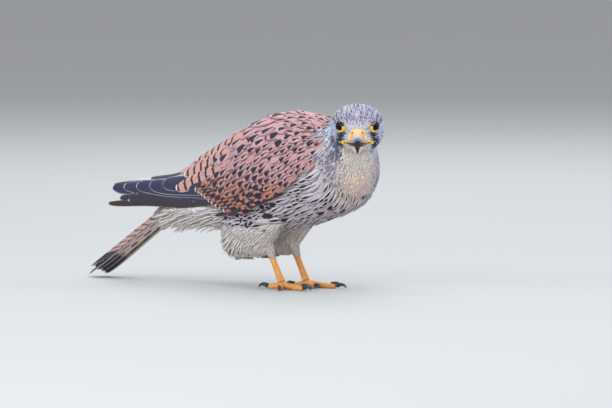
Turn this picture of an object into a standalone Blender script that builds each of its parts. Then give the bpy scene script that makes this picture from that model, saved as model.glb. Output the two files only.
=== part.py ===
"""A common kestrel, life size, standing still with its head turned to its right.

Frame: +X is where the body points, +Y is the bird's left, +Z is up, and the floor is z = 0.
Sizes below are in millimetres and are turned into metres when a mesh is made.
"""
import math

import bmesh
import bpy
import numpy as np
from mathutils import Vector

MM = 0.001
GAP = 0.35

# Where the middle of the whole bird's floor print lies in the frame that the tables use
CENTRE_X = -59.8
CENTRE_Y = 0.0

# The head: its middle, the way it faces, and how far it is bowed
HEAD_MIDDLE = (78.7, -4.0, 134.6)
HEAD_YAW = -48.0
HEAD_PITCH = -15.0

BODY_SIDES = 24
SECTION_ROUNDNESS = 2.2

# Trunk sections from the tail coverts forward, then the neck's, which end inside the head:
# top x, y, z, bottom x, y, z, half width, yaw in degrees
TRUNK_SECTIONS = (
    (-147, 0, 56, -142, 0, 47, 7, 0),
    (-130, 0, 70, -126, 0, 46, 13, 0),
    (-110, 0, 84, -101, 0, 47, 20, 0),
    (-82, 0, 100, -66, 0, 46, 28, 0),
    (-50, 0, 119, -32, 0, 45, 34, 0),
    (-15, 0, 138, 8, 0, 48, 38, 0),
    (14, 0, 144.5, 42, 0, 57, 38.5, 0),
    (34, 0, 142, 69, 0, 67, 37, 0),
    (46, 0, 139, 82, -1, 82, 33, 0),
)
NECK_SECTIONS = (
    (55, 0, 141, 86, -2.5, 97, 25.5, -5),
    (62, 0, 143, 86, -5, 110, 20.5, -10),
    (68, -1, 142, 84, -5, 119, 16, -14),
    (73, -3, 138, 78, -4.5, 128, 7, -16),
)
# Head sections in the head's own frame: forward, top, bottom, half width
HEAD_SECTIONS = (
    (-21.5, 4.4, -5, 6),
    (-19, 10.5, -11, 13),
    (-12.5, 16.2, -16.5, 19),
    (-4, 18.8, -19.5, 21.8),
    (5, 18.2, -20, 21.3),
    (13, 15.2, -18.2, 18.4),
    (19.5, 11, -14.4, 13.6),
    (23.6, 6.4, -10.4, 8.6),
    (25.4, 3.0, -4.0, 5),
)

# Folded wing, by x: half width, height of its middle, height of the arch over it, thickness,
# and the angles down from the top at which it starts and ends
WING_SECTIONS = (
    (64, 34, 106, 26, 3.0, 55, 106),
    (45, 39.5, 101, 40.5, 4.5, 36, 108),
    (29, 41.5, 98, 46.5, 5.0, 27, 110),
    (0, 42.5, 93, 52.8, 5.0, 20, 117),
    (-21, 42, 88, 52.5, 5.0, 15, 120),
    (-51, 37, 80, 47, 4.5, 12, 114),
    (-75, 31, 76, 38.5, 4.0, 11, 110),
    (-100, 25, 72, 29, 3.2, 11, 108),
    (-120, 20.5, 70.5, 22.5, 2.6, 13, 109),
    (-150, 15, 69.5, 18.5, 2.0, 16, 112),
    (-190, 9, 66.5, 15, 1.4, 20, 114),
)
WING_FRONT_X = 63
WING_TIP_X = -190
WING_GAP = 0.7
WING_COLUMNS = 22
WING_ROWS = 10
# The front edge falls back by this much at its ends, from its furthest point forward
WING_FRONT_FALL = 34
WING_FRONT_POINT = 1.05
WING_FRONT_POWER = 2.2
# The notch between the two groups of tips: depth, place across the wing, half width
WING_NOTCH = (17, 0.62, 0.1)
# The upper edge's tip is shorter: by how much, and over what share of the width
WING_UPPER_STEP = (26, 0.14)

TAIL_ROOT = (-88, 90)
TAIL_TIP = (-222, 3.4)
TAIL_HALF_WIDTHS = (7.5, 11.0, 12.5, 13.0)
TAIL_ARCH = 8.5
TAIL_THICK_ROOT = 3.0
TAIL_THICK_TIP = 1.2
TAIL_CORNER_SHARE = 0.11
TAIL_TIP_NARROWING = 0.35
TAIL_NARROWING_POWER = 16
TAIL_CORNER_POWER = 2.2
TAIL_ARCH_POWER = 1.7
# The underside is this share as wide, and the blade is raised by this share of its arch
TAIL_UNDERSIDE = 0.96
TAIL_RAISED = 0.45
TAIL_ROWS = 14
TAIL_COLUMNS = 9

# Feathered thigh of the right leg, by height: z, rear x, front x, inner y, outer y
THIGH_SECTIONS = (
    (74, -46, 22, -8, -29),
    (58, -55, 15, -5.5, -32.5),
    (48, -57, 6, -5, -31.5),
    (40, -56, -1, -5.5, -29.5),
    (33, -54, -6, -7, -26.5),
    (28, -49, -9.5, -10, -23.5),
    (25.5, -42, -15, -13, -20.5),
)

THIGH_SIDES = 18

LEG_Y = 15.0
TARSUS_TOP = (-12.5, 40.0)
TARSUS_FOOT = (5.2, 6.0)
TARSUS_RADII = (3.1, 2.9, 2.5, 2.45, 2.6, 3.1)
ANKLE_CUT_Z = 9.2
LEG_SIDES = 10
# The thigh's hole for the leg is moved back and up by this much, so that it clears the leg's slope
LEG_ROOM_MOVE = (-0.4, 0, 0.8)
# Boxes that cut the leg and the foot reach this far
BOX_REACH = 60
BOX_TOP = 90

# Toes of the right foot: name, yaw from straight ahead, length, radius at the root, claw length
TOES = (
    ("middle", -10, 30, 2.8, 12.0),
    ("inner", 22, 18, 2.8, 11.0),
    ("outer", -52, 21, 2.5, 10.5),
    ("hind", 184, 14.5, 2.7, 12.0),
)
TOE_SIDES = 8
TOE_SHARES = (1.0, 0.98, 0.92, 0.86, 0.84, 0.62)
# How far a toe's round underside is cut off by the floor
PAD_SINK = 1.15
# A toe rises to the foot by the first number, and over its joints by the second
TOE_RISE = (2.0, 0.8)
TOE_JOINTS = 3
TOE_OVERLAP = 1.0

CLAW_RINGS = 7
# A claw starts tilted up by the first angle and bends down through the second
CLAW_LIFT = 15
CLAW_BEND = 100
CLAW_ARCH = 1.1
CLAW_RADII = (1.97, 0.22)
CLAW_TAPER = 0.8
# A claw's root is at this share of the toe's radius, and its point this far over the floor
CLAW_ROOT = 0.95
CLAW_CLEARANCE = 0.5

EYE_RADIUS = 5.4
EYE_PLACE = (13.0, 12.1, 6.1)
EYE_SEGMENTS = 12
EYE_RINGS = 9

# Upper bill in the head's frame: forward, up, half width, half height
UPPER_BILL_SECTIONS = (
    (21.5, 1.6, 7.6, 5.2),
    (24.8, 0.8, 6.6, 4.8),
    (28.4, -1.2, 4.6, 4.2),
    (31.6, -3.6, 3.2, 3.2),
    (34.0, -5.9, 2.3, 2.4),
    (35.2, -8.1, 1.3, 1.6),
    (35.2, -10.1, 0.5, 0.7),
)
CERE_END = 2
# Lower bill in the same frame
LOWER_BILL_SECTIONS = (
    (18.8, -8.9, 8.0, 1.4),
    (23.6, -9.2, 6.2, 1.4),
    (27.6, -10.3, 3.8, 1.3),
    (30.4, -11.7, 2.5, 1.1),
    (31.8, -12.7, 1.2, 0.7),
)
BILL_SIDES = 12

COLOURS = {
    "head": ((0.42, 0.40, 0.46), 0.8),
    "neck": ((0.70, 0.64, 0.62), 0.8),
    "trunk": ((0.66, 0.58, 0.55), 0.8),
    "wing": ((0.46, 0.25, 0.19), 0.75),
    "tail": ((0.42, 0.30, 0.28), 0.75),
    "thigh": ((0.72, 0.66, 0.60), 0.85),
    "leg": ((0.80, 0.45, 0.15), 0.5),
    "claw": ((0.03, 0.03, 0.035), 0.3),
    "eye": ((0.02, 0.012, 0.01), 0.08),
    "cere": ((0.85, 0.55, 0.05), 0.4),
    "bill": ((0.12, 0.14, 0.18), 0.3),
}


def turned(degrees):
    """The unit vector at that angle from +X, in plan."""
    angle = math.radians(degrees)
    return np.array([math.cos(angle), math.sin(angle), 0.0])


def head_axes():
    """The head's forward, left and up directions."""
    pitch = math.radians(HEAD_PITCH)
    ahead = turned(HEAD_YAW)
    left = turned(HEAD_YAW + 90)
    up = np.array([0.0, 0.0, 1.0])
    forward = ahead * math.cos(pitch) + up * math.sin(pitch)
    return forward, left, up * math.cos(pitch) - ahead * math.sin(pitch)


def head_point(forward, left, up):
    """A place given in the head's frame."""
    axis_forward, axis_left, axis_up = head_axes()
    return np.array(HEAD_MIDDLE) + forward * axis_forward + left * axis_left + up * axis_up


def smooth_rows(rows, steps):
    """Rows of numbers, with steps - 1 more between each pair, on a Catmull-Rom curve through them."""
    table = np.array(rows, dtype=float)
    padded = np.vstack((2 * table[0] - table[1], table, 2 * table[-1] - table[-2]))
    out = []
    for i in range(len(table) - 1):
        a, b, c, d = padded[i : i + 4]
        for t in np.arange(steps) / steps:
            out.append(0.5 * (2 * b + (c - a) * t + (2 * a - 5 * b + 4 * c - d) * t**2
                              + (3 * b - a - 3 * c + d) * t**3))
    out.append(table[-1])
    return np.array(out)


def oval(count):
    """A rounded oval's share of half width and half height at each point round it."""
    around = np.arange(count) * 2 * math.pi / count
    power = 2 / SECTION_ROUNDNESS
    across = np.sign(np.sin(around)) * np.abs(np.sin(around)) ** power
    upward = np.sign(np.cos(around)) * np.abs(np.cos(around)) ** power
    return across, upward


def body_rings(rows, grow=0.0):
    """One ring of points for each row of trunk or neck: an oval from its top to its bottom."""
    across, upward = oval(BODY_SIDES)
    rings = []
    for row in rows:
        top = np.array(row[0:3])
        low = np.array(row[3:6])
        half = (top - low) / 2
        half = half * (1 + grow / np.linalg.norm(half))
        left = turned(row[7] + 90)
        rings.append((top + low) / 2 + np.outer(upward, half) + np.outer(across * (row[6] + grow), left))
    return np.array(rings)


def head_rings(grow=0.0):
    """The head's rings, square to the way it faces."""
    across, upward = oval(BODY_SIDES)
    rings = []
    for ahead, top, low, half_width in smooth_rows(HEAD_SECTIONS, 2):
        up = (top + low) / 2 + upward * ((top - low) / 2 + grow)
        left = across * (half_width + grow)
        rings.append([head_point(ahead + grow * math.copysign(1, ahead), a, b) for a, b in zip(left, up)])
    return np.array(rings)


def loft(name, rings, colour):
    """A closed solid through rings of points, all of one count, with flat ends."""
    rings = np.asarray(rings, dtype=float)
    count, sides = rings.shape[:2]
    index = np.arange(count * sides).reshape(count, sides)
    ahead = np.roll(index, -1, axis=1)
    quads = np.stack((index[:-1], ahead[:-1], ahead[1:], index[1:]), axis=-1).reshape(-1, 4)
    faces = quads.tolist() + [index[0].tolist(), index[-1].tolist()]
    return solid(name, rings.reshape(-1, 3), faces, colour)


def slab(name, outer, inner, colour):
    """A closed solid between two grids of points, such as a wing's outer and inner side."""
    rows, columns = outer.shape[:2]
    index = np.arange(rows * columns).reshape(rows, columns)
    other = index + rows * columns
    front = np.stack((index[:-1, :-1], index[1:, :-1], index[1:, 1:], index[:-1, 1:]), axis=-1)
    back = np.stack((other[:-1, :-1], other[:-1, 1:], other[1:, 1:], other[1:, :-1]), axis=-1)
    faces = front.reshape(-1, 4).tolist() + back.reshape(-1, 4).tolist()
    for edge, far in ((index[0], other[0]), (index[-1], other[-1]),
                      (index[:, 0], other[:, 0]), (index[:, -1], other[:, -1])):
        faces += np.stack((edge[:-1], edge[1:], far[1:], far[:-1]), axis=-1).tolist()
    points = np.concatenate((outer.reshape(-1, 3), inner.reshape(-1, 3)))
    return solid(name, points, faces, colour)


def solid(name, points, faces, colour):
    """An object from points in millimetres and faces, with its normals turned outward."""
    mesh = bpy.data.meshes.new(name)
    placed = (np.asarray(points) - (CENTRE_X, CENTRE_Y, 0)) * MM
    mesh.from_pydata(placed.tolist(), [], faces)
    work = bmesh.new()
    work.from_mesh(mesh)
    bmesh.ops.recalc_face_normals(work, faces=work.faces)
    bmesh.ops.triangulate(work, faces=[face for face in work.faces if len(face.verts) > 4])
    work.to_mesh(mesh)
    work.free()
    mesh.shade_smooth()
    item = bpy.data.objects.new(name, mesh)
    if colour:
        item.data.materials.append(material(colour))
        parts.objects.link(item)
    else:
        item.hide_render = True
        item.display_type = "WIRE"
        cutters.objects.link(item)
    return item


def material(colour):
    """The Principled material of that name, made once."""
    found = bpy.data.materials.get(colour)
    if found:
        return found
    made = bpy.data.materials.new(colour)
    made.use_nodes = True
    shader = made.node_tree.nodes["Principled BSDF"]
    shade, roughness = COLOURS[colour]
    shader.inputs["Base Color"].default_value = (*shade, 1)
    shader.inputs["Roughness"].default_value = roughness
    shader.inputs["Metallic"].default_value = 0.0
    made.diffuse_color = (*shade, 1)
    return made


def cut(item, cutter, operation="DIFFERENCE"):
    """Cuts or joins one solid with another."""
    step = item.modifiers.new(operation.lower() + "_" + cutter.name, "BOOLEAN")
    step.object = cutter
    step.operation = operation
    step.solver = "EXACT"


def cut_all(item, rooms):
    """Cuts one solid with several others in one step."""
    group = bpy.data.collections.new(item.name + "_rooms")
    bpy.context.scene.collection.children.link(group)
    for room in rooms:
        group.objects.link(room)
        cutters.objects.unlink(room)
    step = item.modifiers.new("rooms", "BOOLEAN")
    step.operand_type = "COLLECTION"
    step.collection = group
    step.operation = "DIFFERENCE"
    step.solver = "EXACT"


def mirrored(grid):
    """The same points on the bird's other side."""
    return np.asarray(grid) * (1, -1, 1)


def table_at(x, column):
    """A column of the wing's table at any x."""
    table = smooth_rows(WING_SECTIONS, 8)[::-1]
    return np.interp(x, table[:, 0], table[:, column])


def wing_grid(inward, edge=0.0):
    """The right wing's surface, sunk inward from its outer side, and wider by edge all round.

    x runs from the wrist to the tips. Each line across is an arc of an oval from near the back's
    middle, out over the shoulder and down the flank. The tips end in two groups with a notch.
    """
    along = np.linspace(0, 1, WING_COLUMNS)[:, None]
    across = np.linspace(0, 1, WING_ROWS)[None, :]
    fall = WING_FRONT_FALL * np.abs(2 * across - WING_FRONT_POINT) ** WING_FRONT_POWER
    front = WING_FRONT_X + edge - fall
    deep, place, half = WING_NOTCH
    shorter, share = WING_UPPER_STEP
    notch = deep * np.exp(-(((across - place) / half) ** 2))
    step = shorter * np.clip(share - across, 0, 1) / share
    tip = WING_TIP_X - edge + notch + step
    x = front + (tip - front) * along
    spread = table_at(x, 6) - table_at(x, 5)
    margin = np.degrees(edge / np.maximum(table_at(x, 1), 1))
    angle = np.radians(table_at(x, 5) - margin + (spread + 2 * margin) * across)
    depth = inward * table_at(x, 4) - edge * (1 - 2 * inward)
    y = -(table_at(x, 1) - depth) * np.sin(angle)
    z = table_at(x, 2) + (table_at(x, 3) - depth) * np.cos(angle)
    return np.stack((x, y, z), axis=-1)


def make_wings():
    """Both folded wings, and the larger shapes that the trunk leaves free for them."""
    outer, inner = wing_grid(0), wing_grid(1)
    wide, deep = wing_grid(0, WING_GAP), wing_grid(1, WING_GAP)
    slab("wing_right", outer, inner, "wing")
    slab("wing_left", mirrored(outer), mirrored(inner), "wing")
    return (slab("wing_room_right", wide, deep, None),
            slab("wing_room_left", mirrored(wide), mirrored(deep), None))


def make_body(rooms):
    """Trunk and neck, from one row of sections with a thin cut between them, and the head."""
    fine = smooth_rows(TRUNK_SECTIONS + NECK_SECTIONS, 2)
    trunk_end = 2 * (len(TRUNK_SECTIONS) - 1)
    trunk = loft("trunk", body_rings(fine[: trunk_end + 1]), "trunk")
    neck_rows = fine[trunk_end:].copy()
    neck_rows[0] = stepped(neck_rows[0], neck_rows[1])
    neck = loft("neck", body_rings(neck_rows), "neck")
    head = loft("head", head_rings(), "head")
    cut_all(neck, [loft("head_room", head_rings(GAP), None)])
    cut_all(trunk, rooms)
    return head


def stepped(row, following):
    """The row moved towards the next one, so that its nearest edge is a gap away."""
    moves = (np.linalg.norm(following[0:3] - row[0:3]), np.linalg.norm(following[3:6] - row[3:6]))
    return row + (following - row) * min(0.5, GAP / min(moves))


def make_tail(trunk_room):
    """The folded tail: a long arched blade with a rounded tip, its root inside the coverts."""
    along = np.linspace(0, 1, TAIL_ROWS)[:, None]
    across = np.linspace(-1, 1, TAIL_COLUMNS)[None, :]
    reach = along * (1 - TAIL_CORNER_SHARE * np.abs(across) ** TAIL_CORNER_POWER)
    half = np.interp(reach, np.linspace(0, 1, len(TAIL_HALF_WIDTHS)), TAIL_HALF_WIDTHS)
    y = half * across * (1 - TAIL_TIP_NARROWING * along**TAIL_NARROWING_POWER)
    x = TAIL_ROOT[0] + (TAIL_TIP[0] - TAIL_ROOT[0]) * reach
    arch = TAIL_ARCH * (TAIL_RAISED - np.abs(across) ** TAIL_ARCH_POWER * half / TAIL_HALF_WIDTHS[-1])
    z = TAIL_ROOT[1] + (TAIL_TIP[1] - TAIL_ROOT[1]) * reach + arch
    thick = TAIL_THICK_ROOT + (TAIL_THICK_TIP - TAIL_THICK_ROOT) * reach
    top = np.stack((x, y, z), axis=-1)
    low = np.stack((x, y * TAIL_UNDERSIDE, z - thick), axis=-1)
    tail = slab("tail", top, low, "tail")
    cut(tail, trunk_room)
    return tail


def tube_rings(path, radii, sides, floor=None):
    """Rings along a path, square to it, and no lower than the floor."""
    path = np.asarray(path, dtype=float)
    heading = np.gradient(path, axis=0)
    heading /= np.linalg.norm(heading, axis=1)[:, None]
    angles = (np.arange(sides) + 0.5) * 2 * math.pi / sides
    rings = []
    for centre, ahead, radius in zip(path, heading, radii):
        side = np.cross((0, 0, 1), ahead)
        side = side / np.linalg.norm(side)
        up = np.cross(ahead, side)
        ring = centre + radius * (np.outer(np.cos(angles), side) + np.outer(np.sin(angles), up))
        if floor is not None:
            ring[:, 2] = np.maximum(ring[:, 2], floor)
        rings.append(ring)
    return np.array(rings)


def make_thigh(side, sign, trunk_room):
    """A feathered thigh, cut to the belly that it hangs from."""
    rings = []
    around = np.arange(THIGH_SIDES) * 2 * math.pi / THIGH_SIDES
    for z, rear, front, inner, outer in smooth_rows(THIGH_SECTIONS, 2):
        x = (rear + front) / 2 + (front - rear) / 2 * np.cos(around)
        y = (inner + outer) / 2 + (inner - outer) / 2 * np.sin(around)
        rings.append(np.stack((x, -sign * y, np.full(len(x), z)), axis=-1))
    thigh = loft("thigh_" + side, rings, "thigh")
    cut(thigh, trunk_room)
    return thigh


def tarsus_path():
    """The middle of the bare leg, from inside the thigh down to the foot."""
    share = np.linspace(0, 1, len(TARSUS_RADII))[:, None]
    ends = np.array([TARSUS_TOP, TARSUS_FOOT])
    flat = ends[0] + (ends[1] - ends[0]) * share
    return np.column_stack((flat[:, 0], np.zeros(len(flat)), flat[:, 1]))


def toe_path(yaw, length, radius):
    """A toe's middle line: out of the foot, arched over its joints, down to its pad."""
    share = np.linspace(0, 1, len(TOE_SHARES))
    bulge = np.sin(share * TOE_JOINTS * math.pi) ** 2 * (1 - share)
    rise = radius - PAD_SINK + TOE_RISE[0] * (1 - share) ** 2 + TOE_RISE[1] * bulge
    ahead = turned(yaw)
    start = np.array([TARSUS_FOOT[0], 0, 0])
    flat = start + np.outer(share * length - TOE_OVERLAP, ahead)
    flat[:, 2] = rise
    return flat


def claw_rings(yaw, length, reach, radius):
    """A hooked claw from a toe's end, curving down to a point just over the floor."""
    share = np.linspace(0, 1, CLAW_RINGS)
    bend = share * math.radians(CLAW_BEND) - math.radians(CLAW_LIFT)
    step = length / (len(share) - 1)
    ahead = np.concatenate(([0], np.cumsum(np.cos(bend[:-1]) * step)))
    drop = np.concatenate(([0], np.cumsum(np.sin(bend[:-1]) * step)))
    drop = drop / drop[-1] * (radius * CLAW_ROOT - CLAW_CLEARANCE)
    start = np.array([TARSUS_FOOT[0], 0, 0]) + turned(yaw) * (reach - TOE_OVERLAP + 3 * GAP)
    path = start + np.outer(ahead, turned(yaw))
    path[:, 2] = radius * CLAW_ROOT - drop + CLAW_ARCH * np.sin(share * math.pi)
    radii = (CLAW_RADII[0] - CLAW_RADII[1]) * (1 - share) ** CLAW_TAPER + CLAW_RADII[1]
    return tube_rings(path, radii, TOE_SIDES, 0.0)


def make_leg(side, sign, thigh):
    """The bare leg, the foot with its toes, and the claws."""
    def placed(rings):
        """Points of the right leg moved to this side's leg."""
        return (np.asarray(rings) + (0, -LEG_Y, 0)) * (1, -sign, 1)

    shank = tube_rings(tarsus_path(), TARSUS_RADII, LEG_SIDES)
    tarsus = loft("tarsus_" + side, placed(shank), "leg")
    low = loft("ankle_room_" + side, placed(box_rings(-BOX_REACH, ANKLE_CUT_Z)), None)
    high = loft("shank_room_" + side, placed(box_rings(ANKLE_CUT_Z - GAP, BOX_TOP)), None)
    foot = loft("foot_" + side, placed(shank), "leg")
    for name, yaw, length, radius, claw in TOES:
        path = toe_path(yaw, length, radius)
        toe_rings = tube_rings(path, radius * np.array(TOE_SHARES), TOE_SIDES)
        toe = loft("toe_%s_%s" % (name, side), placed(toe_rings), None)
        cut(foot, toe, "UNION")
        loft("claw_%s_%s" % (name, side), placed(claw_rings(yaw, claw, length, radius)), "claw")
    cut(tarsus, low)
    cut(foot, high)
    cut(foot, loft("floor_room_" + side, placed(box_rings(-BOX_REACH, 0)), None))
    room_rings = tube_rings(tarsus_path() + LEG_ROOM_MOVE, np.array(TARSUS_RADII) + GAP, LEG_SIDES)
    cut(thigh, loft("leg_room_" + side, placed(room_rings), None))
    return tarsus, foot


def box_rings(low, high):
    """A plain box between two heights, wide enough to take in a whole foot, as two rings."""
    corners = ((-1, -1), (1, -1), (1, 1), (-1, 1))
    return [[(x * BOX_REACH, y * BOX_REACH, z) for x, y in corners] for z in (low, high)]


def bill_rings(rows, grow=0.0):
    """Rings of a bill in the head's frame, square to its curved middle line."""
    rows = np.asarray(rows, dtype=float)
    heading = np.gradient(rows[:, :2], axis=0)
    heading /= np.linalg.norm(heading, axis=1)[:, None]
    around = np.arange(BILL_SIDES) * 2 * math.pi / BILL_SIDES
    rings = []
    for (forward, up, half_width, half_height), (ahead, rise) in zip(rows, heading):
        across = (half_width + grow) * np.sin(around)
        high = (half_height + grow) * np.cos(around)
        rings.append([head_point(forward - rise * h, a, up + ahead * h) for a, h in zip(across, high)])
    return np.array(rings)


def make_bill():
    """Cere, upper bill and lower bill, and the rooms that the head leaves for them."""
    upper = smooth_rows(UPPER_BILL_SECTIONS, 2)
    rings = bill_rings(upper)
    split = 2 * CERE_END
    loft("cere", rings[: split + 1], "cere")
    front = rings[split:].copy()
    ahead = (front[1] - front[0]).mean(axis=0)
    front[0] += ahead * GAP / np.linalg.norm(ahead)
    loft("upper_bill", front, "bill")
    rooms = [loft("cere_room", bill_rings(upper[: split + 3], GAP), None)]
    lower = smooth_rows(LOWER_BILL_SECTIONS, 2)
    loft("lower_bill", bill_rings(lower), "bill")
    rooms.append(loft("lower_bill_room", bill_rings(lower, GAP), None))
    return rooms


def make_eyes():
    """Two eyeballs, and the rooms for them in the head."""
    rooms = []
    forward, left, up = EYE_PLACE
    for side, sign in (("right", -1), ("left", 1)):
        centre = (head_point(forward, sign * left, up) - (CENTRE_X, CENTRE_Y, 0)) * MM
        for name, radius in (("eye_" + side, EYE_RADIUS), ("socket_" + side, EYE_RADIUS + GAP)):
            mesh = bpy.data.meshes.new(name)
            work = bmesh.new()
            bmesh.ops.create_uvsphere(work, u_segments=EYE_SEGMENTS, v_segments=EYE_RINGS, radius=radius * MM)
            bmesh.ops.translate(work, vec=Vector(centre), verts=work.verts)
            work.to_mesh(mesh)
            work.free()
            mesh.shade_smooth()
            item = bpy.data.objects.new(name, mesh)
            if name.startswith("eye"):
                mesh.materials.append(material("eye"))
                parts.objects.link(item)
            else:
                item.hide_render = True
                item.display_type = "WIRE"
                cutters.objects.link(item)
                rooms.append(item)
    return rooms


for old in list(bpy.data.objects):
    bpy.data.objects.remove(old, do_unlink=True)
parts = bpy.data.collections.new("common_kestrel")
cutters = bpy.data.collections.new("cutters")
bpy.context.scene.collection.children.link(parts)
bpy.context.scene.collection.children.link(cutters)

head_solid = make_body(make_wings())
trunk_room = loft("trunk_room", body_rings(smooth_rows(TRUNK_SECTIONS, 2), GAP), None)
make_tail(trunk_room)
for leg_side, leg_sign in (("right", -1), ("left", 1)):
    make_leg(leg_side, leg_sign, make_thigh(leg_side, leg_sign, trunk_room))
cut_all(head_solid, make_bill() + make_eyes())
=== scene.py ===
# A common kestrel, life size, standing still with its head turned to its right.
# Everything is in metres in the model's frame. The bird's own tables are in millimetres,
# with +x where the body points, +y the bird's left and z up from the floor.
import math

import bmesh
import bpy
import numpy as np
from mathutils import Matrix


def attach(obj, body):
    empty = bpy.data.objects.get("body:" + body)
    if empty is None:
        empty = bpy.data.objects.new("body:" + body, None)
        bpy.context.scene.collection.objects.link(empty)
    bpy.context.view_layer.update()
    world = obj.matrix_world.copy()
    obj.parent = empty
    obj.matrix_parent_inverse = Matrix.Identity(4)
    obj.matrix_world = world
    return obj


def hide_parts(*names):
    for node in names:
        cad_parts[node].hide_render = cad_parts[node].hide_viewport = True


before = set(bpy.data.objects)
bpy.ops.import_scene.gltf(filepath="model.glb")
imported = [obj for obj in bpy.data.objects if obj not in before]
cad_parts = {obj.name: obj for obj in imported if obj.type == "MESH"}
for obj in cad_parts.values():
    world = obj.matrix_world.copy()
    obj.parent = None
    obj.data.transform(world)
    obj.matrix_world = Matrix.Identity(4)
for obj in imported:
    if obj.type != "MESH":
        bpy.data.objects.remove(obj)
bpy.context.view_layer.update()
mm = 0.001
frameShift = np.array([59.8, 0.0, 0.0])  # from the bird's tables to the model's frame

body = {
    # top x, y, z, bottom x, y, z, half width, yaw, from the tail coverts to inside the head
    "sections": (
        (-147, 0, 56, -142, 0, 47, 7, 0),
        (-130, 0, 70, -126, 0, 46, 13, 0),
        (-110, 0, 84, -101, 0, 47, 20, 0),
        (-82, 0, 100, -66, 0, 46, 28, 0),
        (-50, 0, 119, -32, 0, 45, 34, 0),
        (-15, 0, 138, 8, 0, 48, 38, 0),
        (14, 0, 144.5, 42, 0, 57, 38.5, 0),
        (34, 0, 142, 69, 0, 67, 37, 0),
        (46, 0, 139, 82, -1, 82, 33, 0),
        (55, 0, 141, 86, -2.5, 97, 25.5, -5),
        (62, 0, 143, 86, -5, 110, 20.5, -10),
        (68, -1, 142, 84, -5, 119, 16, -14),
        (73, -3, 138, 78, -4.5, 128, 7, -16),
    ),
    "roundness": 2.2,
    "sink": 1.6,  # how far the skin lies under the outline of the feathers
}
head = {
    "middle": (78.7, -4.0, 134.6),
    "yaw": -48.0,
    "pitch": -15.0,
    # forward, top, bottom, half width in the head's own frame
    "sections": (
        (-21.5, 5, -5, 6),
        (-19, 11.5, -11, 13),
        (-12.5, 17.4, -16.5, 19),
        (-4, 20, -19.5, 21.8),
        (5, 19.4, -20, 21.3),
        (13, 16.4, -18.2, 18.4),
        (19.5, 12, -14.4, 13.6),
        (23.6, 7, -10.4, 8.6),
        (25.4, 3.4, -4.0, 5),
    ),
    "sink": 1.1,
}
# Outline over the back and folded wings, by x: half width, middle height, arch height, wing's lower edge in degrees
hullSections = (
    (64, 34, 106, 26, 106),
    (45, 39.5, 101, 40.5, 108),
    (29, 41.5, 98, 46.5, 110),
    (0, 42.5, 93, 52.8, 117),
    (-21, 42, 88, 52.5, 120),
    (-51, 37, 80, 47, 114),
    (-75, 31, 76, 38.5, 110),
    (-100, 25, 72, 29, 108),
    (-120, 20.5, 70.5, 22.5, 109),
    (-150, 15, 69.5, 18.5, 112),
    (-190, 9, 66.5, 15, 114),
)
thigh = {
    # z, rear x, front x, inner y, outer y of the right thigh
    "sections": (
        (74, -46, 22, -8, -29),
        (58, -55, 15, -5.5, -32.5),
        (48, -57, 6, -5, -31.5),
        (40, -56, -1, -5.5, -29.5),
        (33, -54, -6, -7, -26.5),
        (28, -49, -9.5, -10, -23.5),
        (25.5, -42, -15, -13, -20.5),
    ),
    "sink": 1.8,
}
tail = {
    "root": (-88, 90),
    "tip": (-222, 3.4),
    "halfWidths": (7.5, 11.0, 12.5, 13.0),
    "arch": 8.5,
    "lift": 0.45,
}
tau = 2 * math.pi


# Geometry helpers, in the bird's tables

# Unit vector in plan at that many degrees from +x
def planUnit(degrees):
    angle = np.radians(degrees)
    return np.stack((np.cos(angle), np.sin(angle), np.zeros_like(angle)), axis=-1)


headForward = planUnit(head["yaw"]) * math.cos(math.radians(head["pitch"]))
headForward[2] = math.sin(math.radians(head["pitch"]))
headLeft = planUnit(head["yaw"] + 90)
headUp = np.cross(headForward, headLeft)


# Head frame to the bird's: middle + forward f + left l + up u
def headPoint(f, l, u):
    f, l, u = np.broadcast_arrays(f, l, u)
    return (np.array(head["middle"]) + f[..., None] * headForward
            + l[..., None] * headLeft + u[..., None] * headUp)


# The bird's frame to the head's: the three dot products with the head's axes
def toHead(points):
    d = points - np.array(head["middle"])
    return d @ headForward, d @ headLeft, d @ headUp


# Catmull-Rom through a table's rows, n - 1 extra rows between each pair
def smoothRows(rows, n=12):
    t = np.array(rows, float)
    t = np.vstack((2 * t[0] - t[1], t, 2 * t[-1] - t[-2]))
    k = (np.arange(n) / n)[None, :, None]
    a, b, c, d = (t[i:len(t) - 3 + i, None] for i in range(4))
    curve = 0.5 * (2 * b + (c - a) * k + (2 * a - 5 * b + 4 * c - d) * k**2 + (3 * b - a - 3 * c + d) * k**3)
    return np.vstack((curve.reshape(-1, t.shape[1]), t[-2]))


# Each column of a fine table read at position s, counted in the coarse table's rows
def readRows(table, s, n=12):
    s = np.asarray(s, float) * n
    return [np.interp(s, np.arange(len(table)), table[:, i]) for i in range(table.shape[1])]


bodyTable = smoothRows(body["sections"])
headTable = smoothRows(head["sections"])
hullTable = smoothRows(hullSections)[::-1]
thighTable = smoothRows(thigh["sections"])
bodyEnd = len(body["sections"]) - 1
headEnd = len(head["sections"]) - 1
thighEnd = len(thigh["sections"]) - 1


# Superellipse: sign(sin t)|sin t|^(2/n) across, the same with cosine upward
def oval(t):
    power = 2 / body["roundness"]
    return (np.sign(np.sin(t)) * np.abs(np.sin(t)) ** power,
            np.sign(np.cos(t)) * np.abs(np.cos(t)) ** power)


# Trunk and neck: s counts sections from the tail forward, t is the angle from the top towards the left
def bodySurface(s, t, grow=0.0):
    c = readRows(bodyTable, s)
    top, low = np.stack(c[0:3], -1), np.stack(c[3:6], -1)
    half = (top - low) / 2
    half = half * (1 + grow / np.maximum(np.linalg.norm(half, axis=-1, keepdims=True), 1e-6))
    across, up = oval(t)
    return (top + low) / 2 + up[..., None] * half + (across * (c[6] + grow))[..., None] * planUnit(c[7] + 90)


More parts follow.
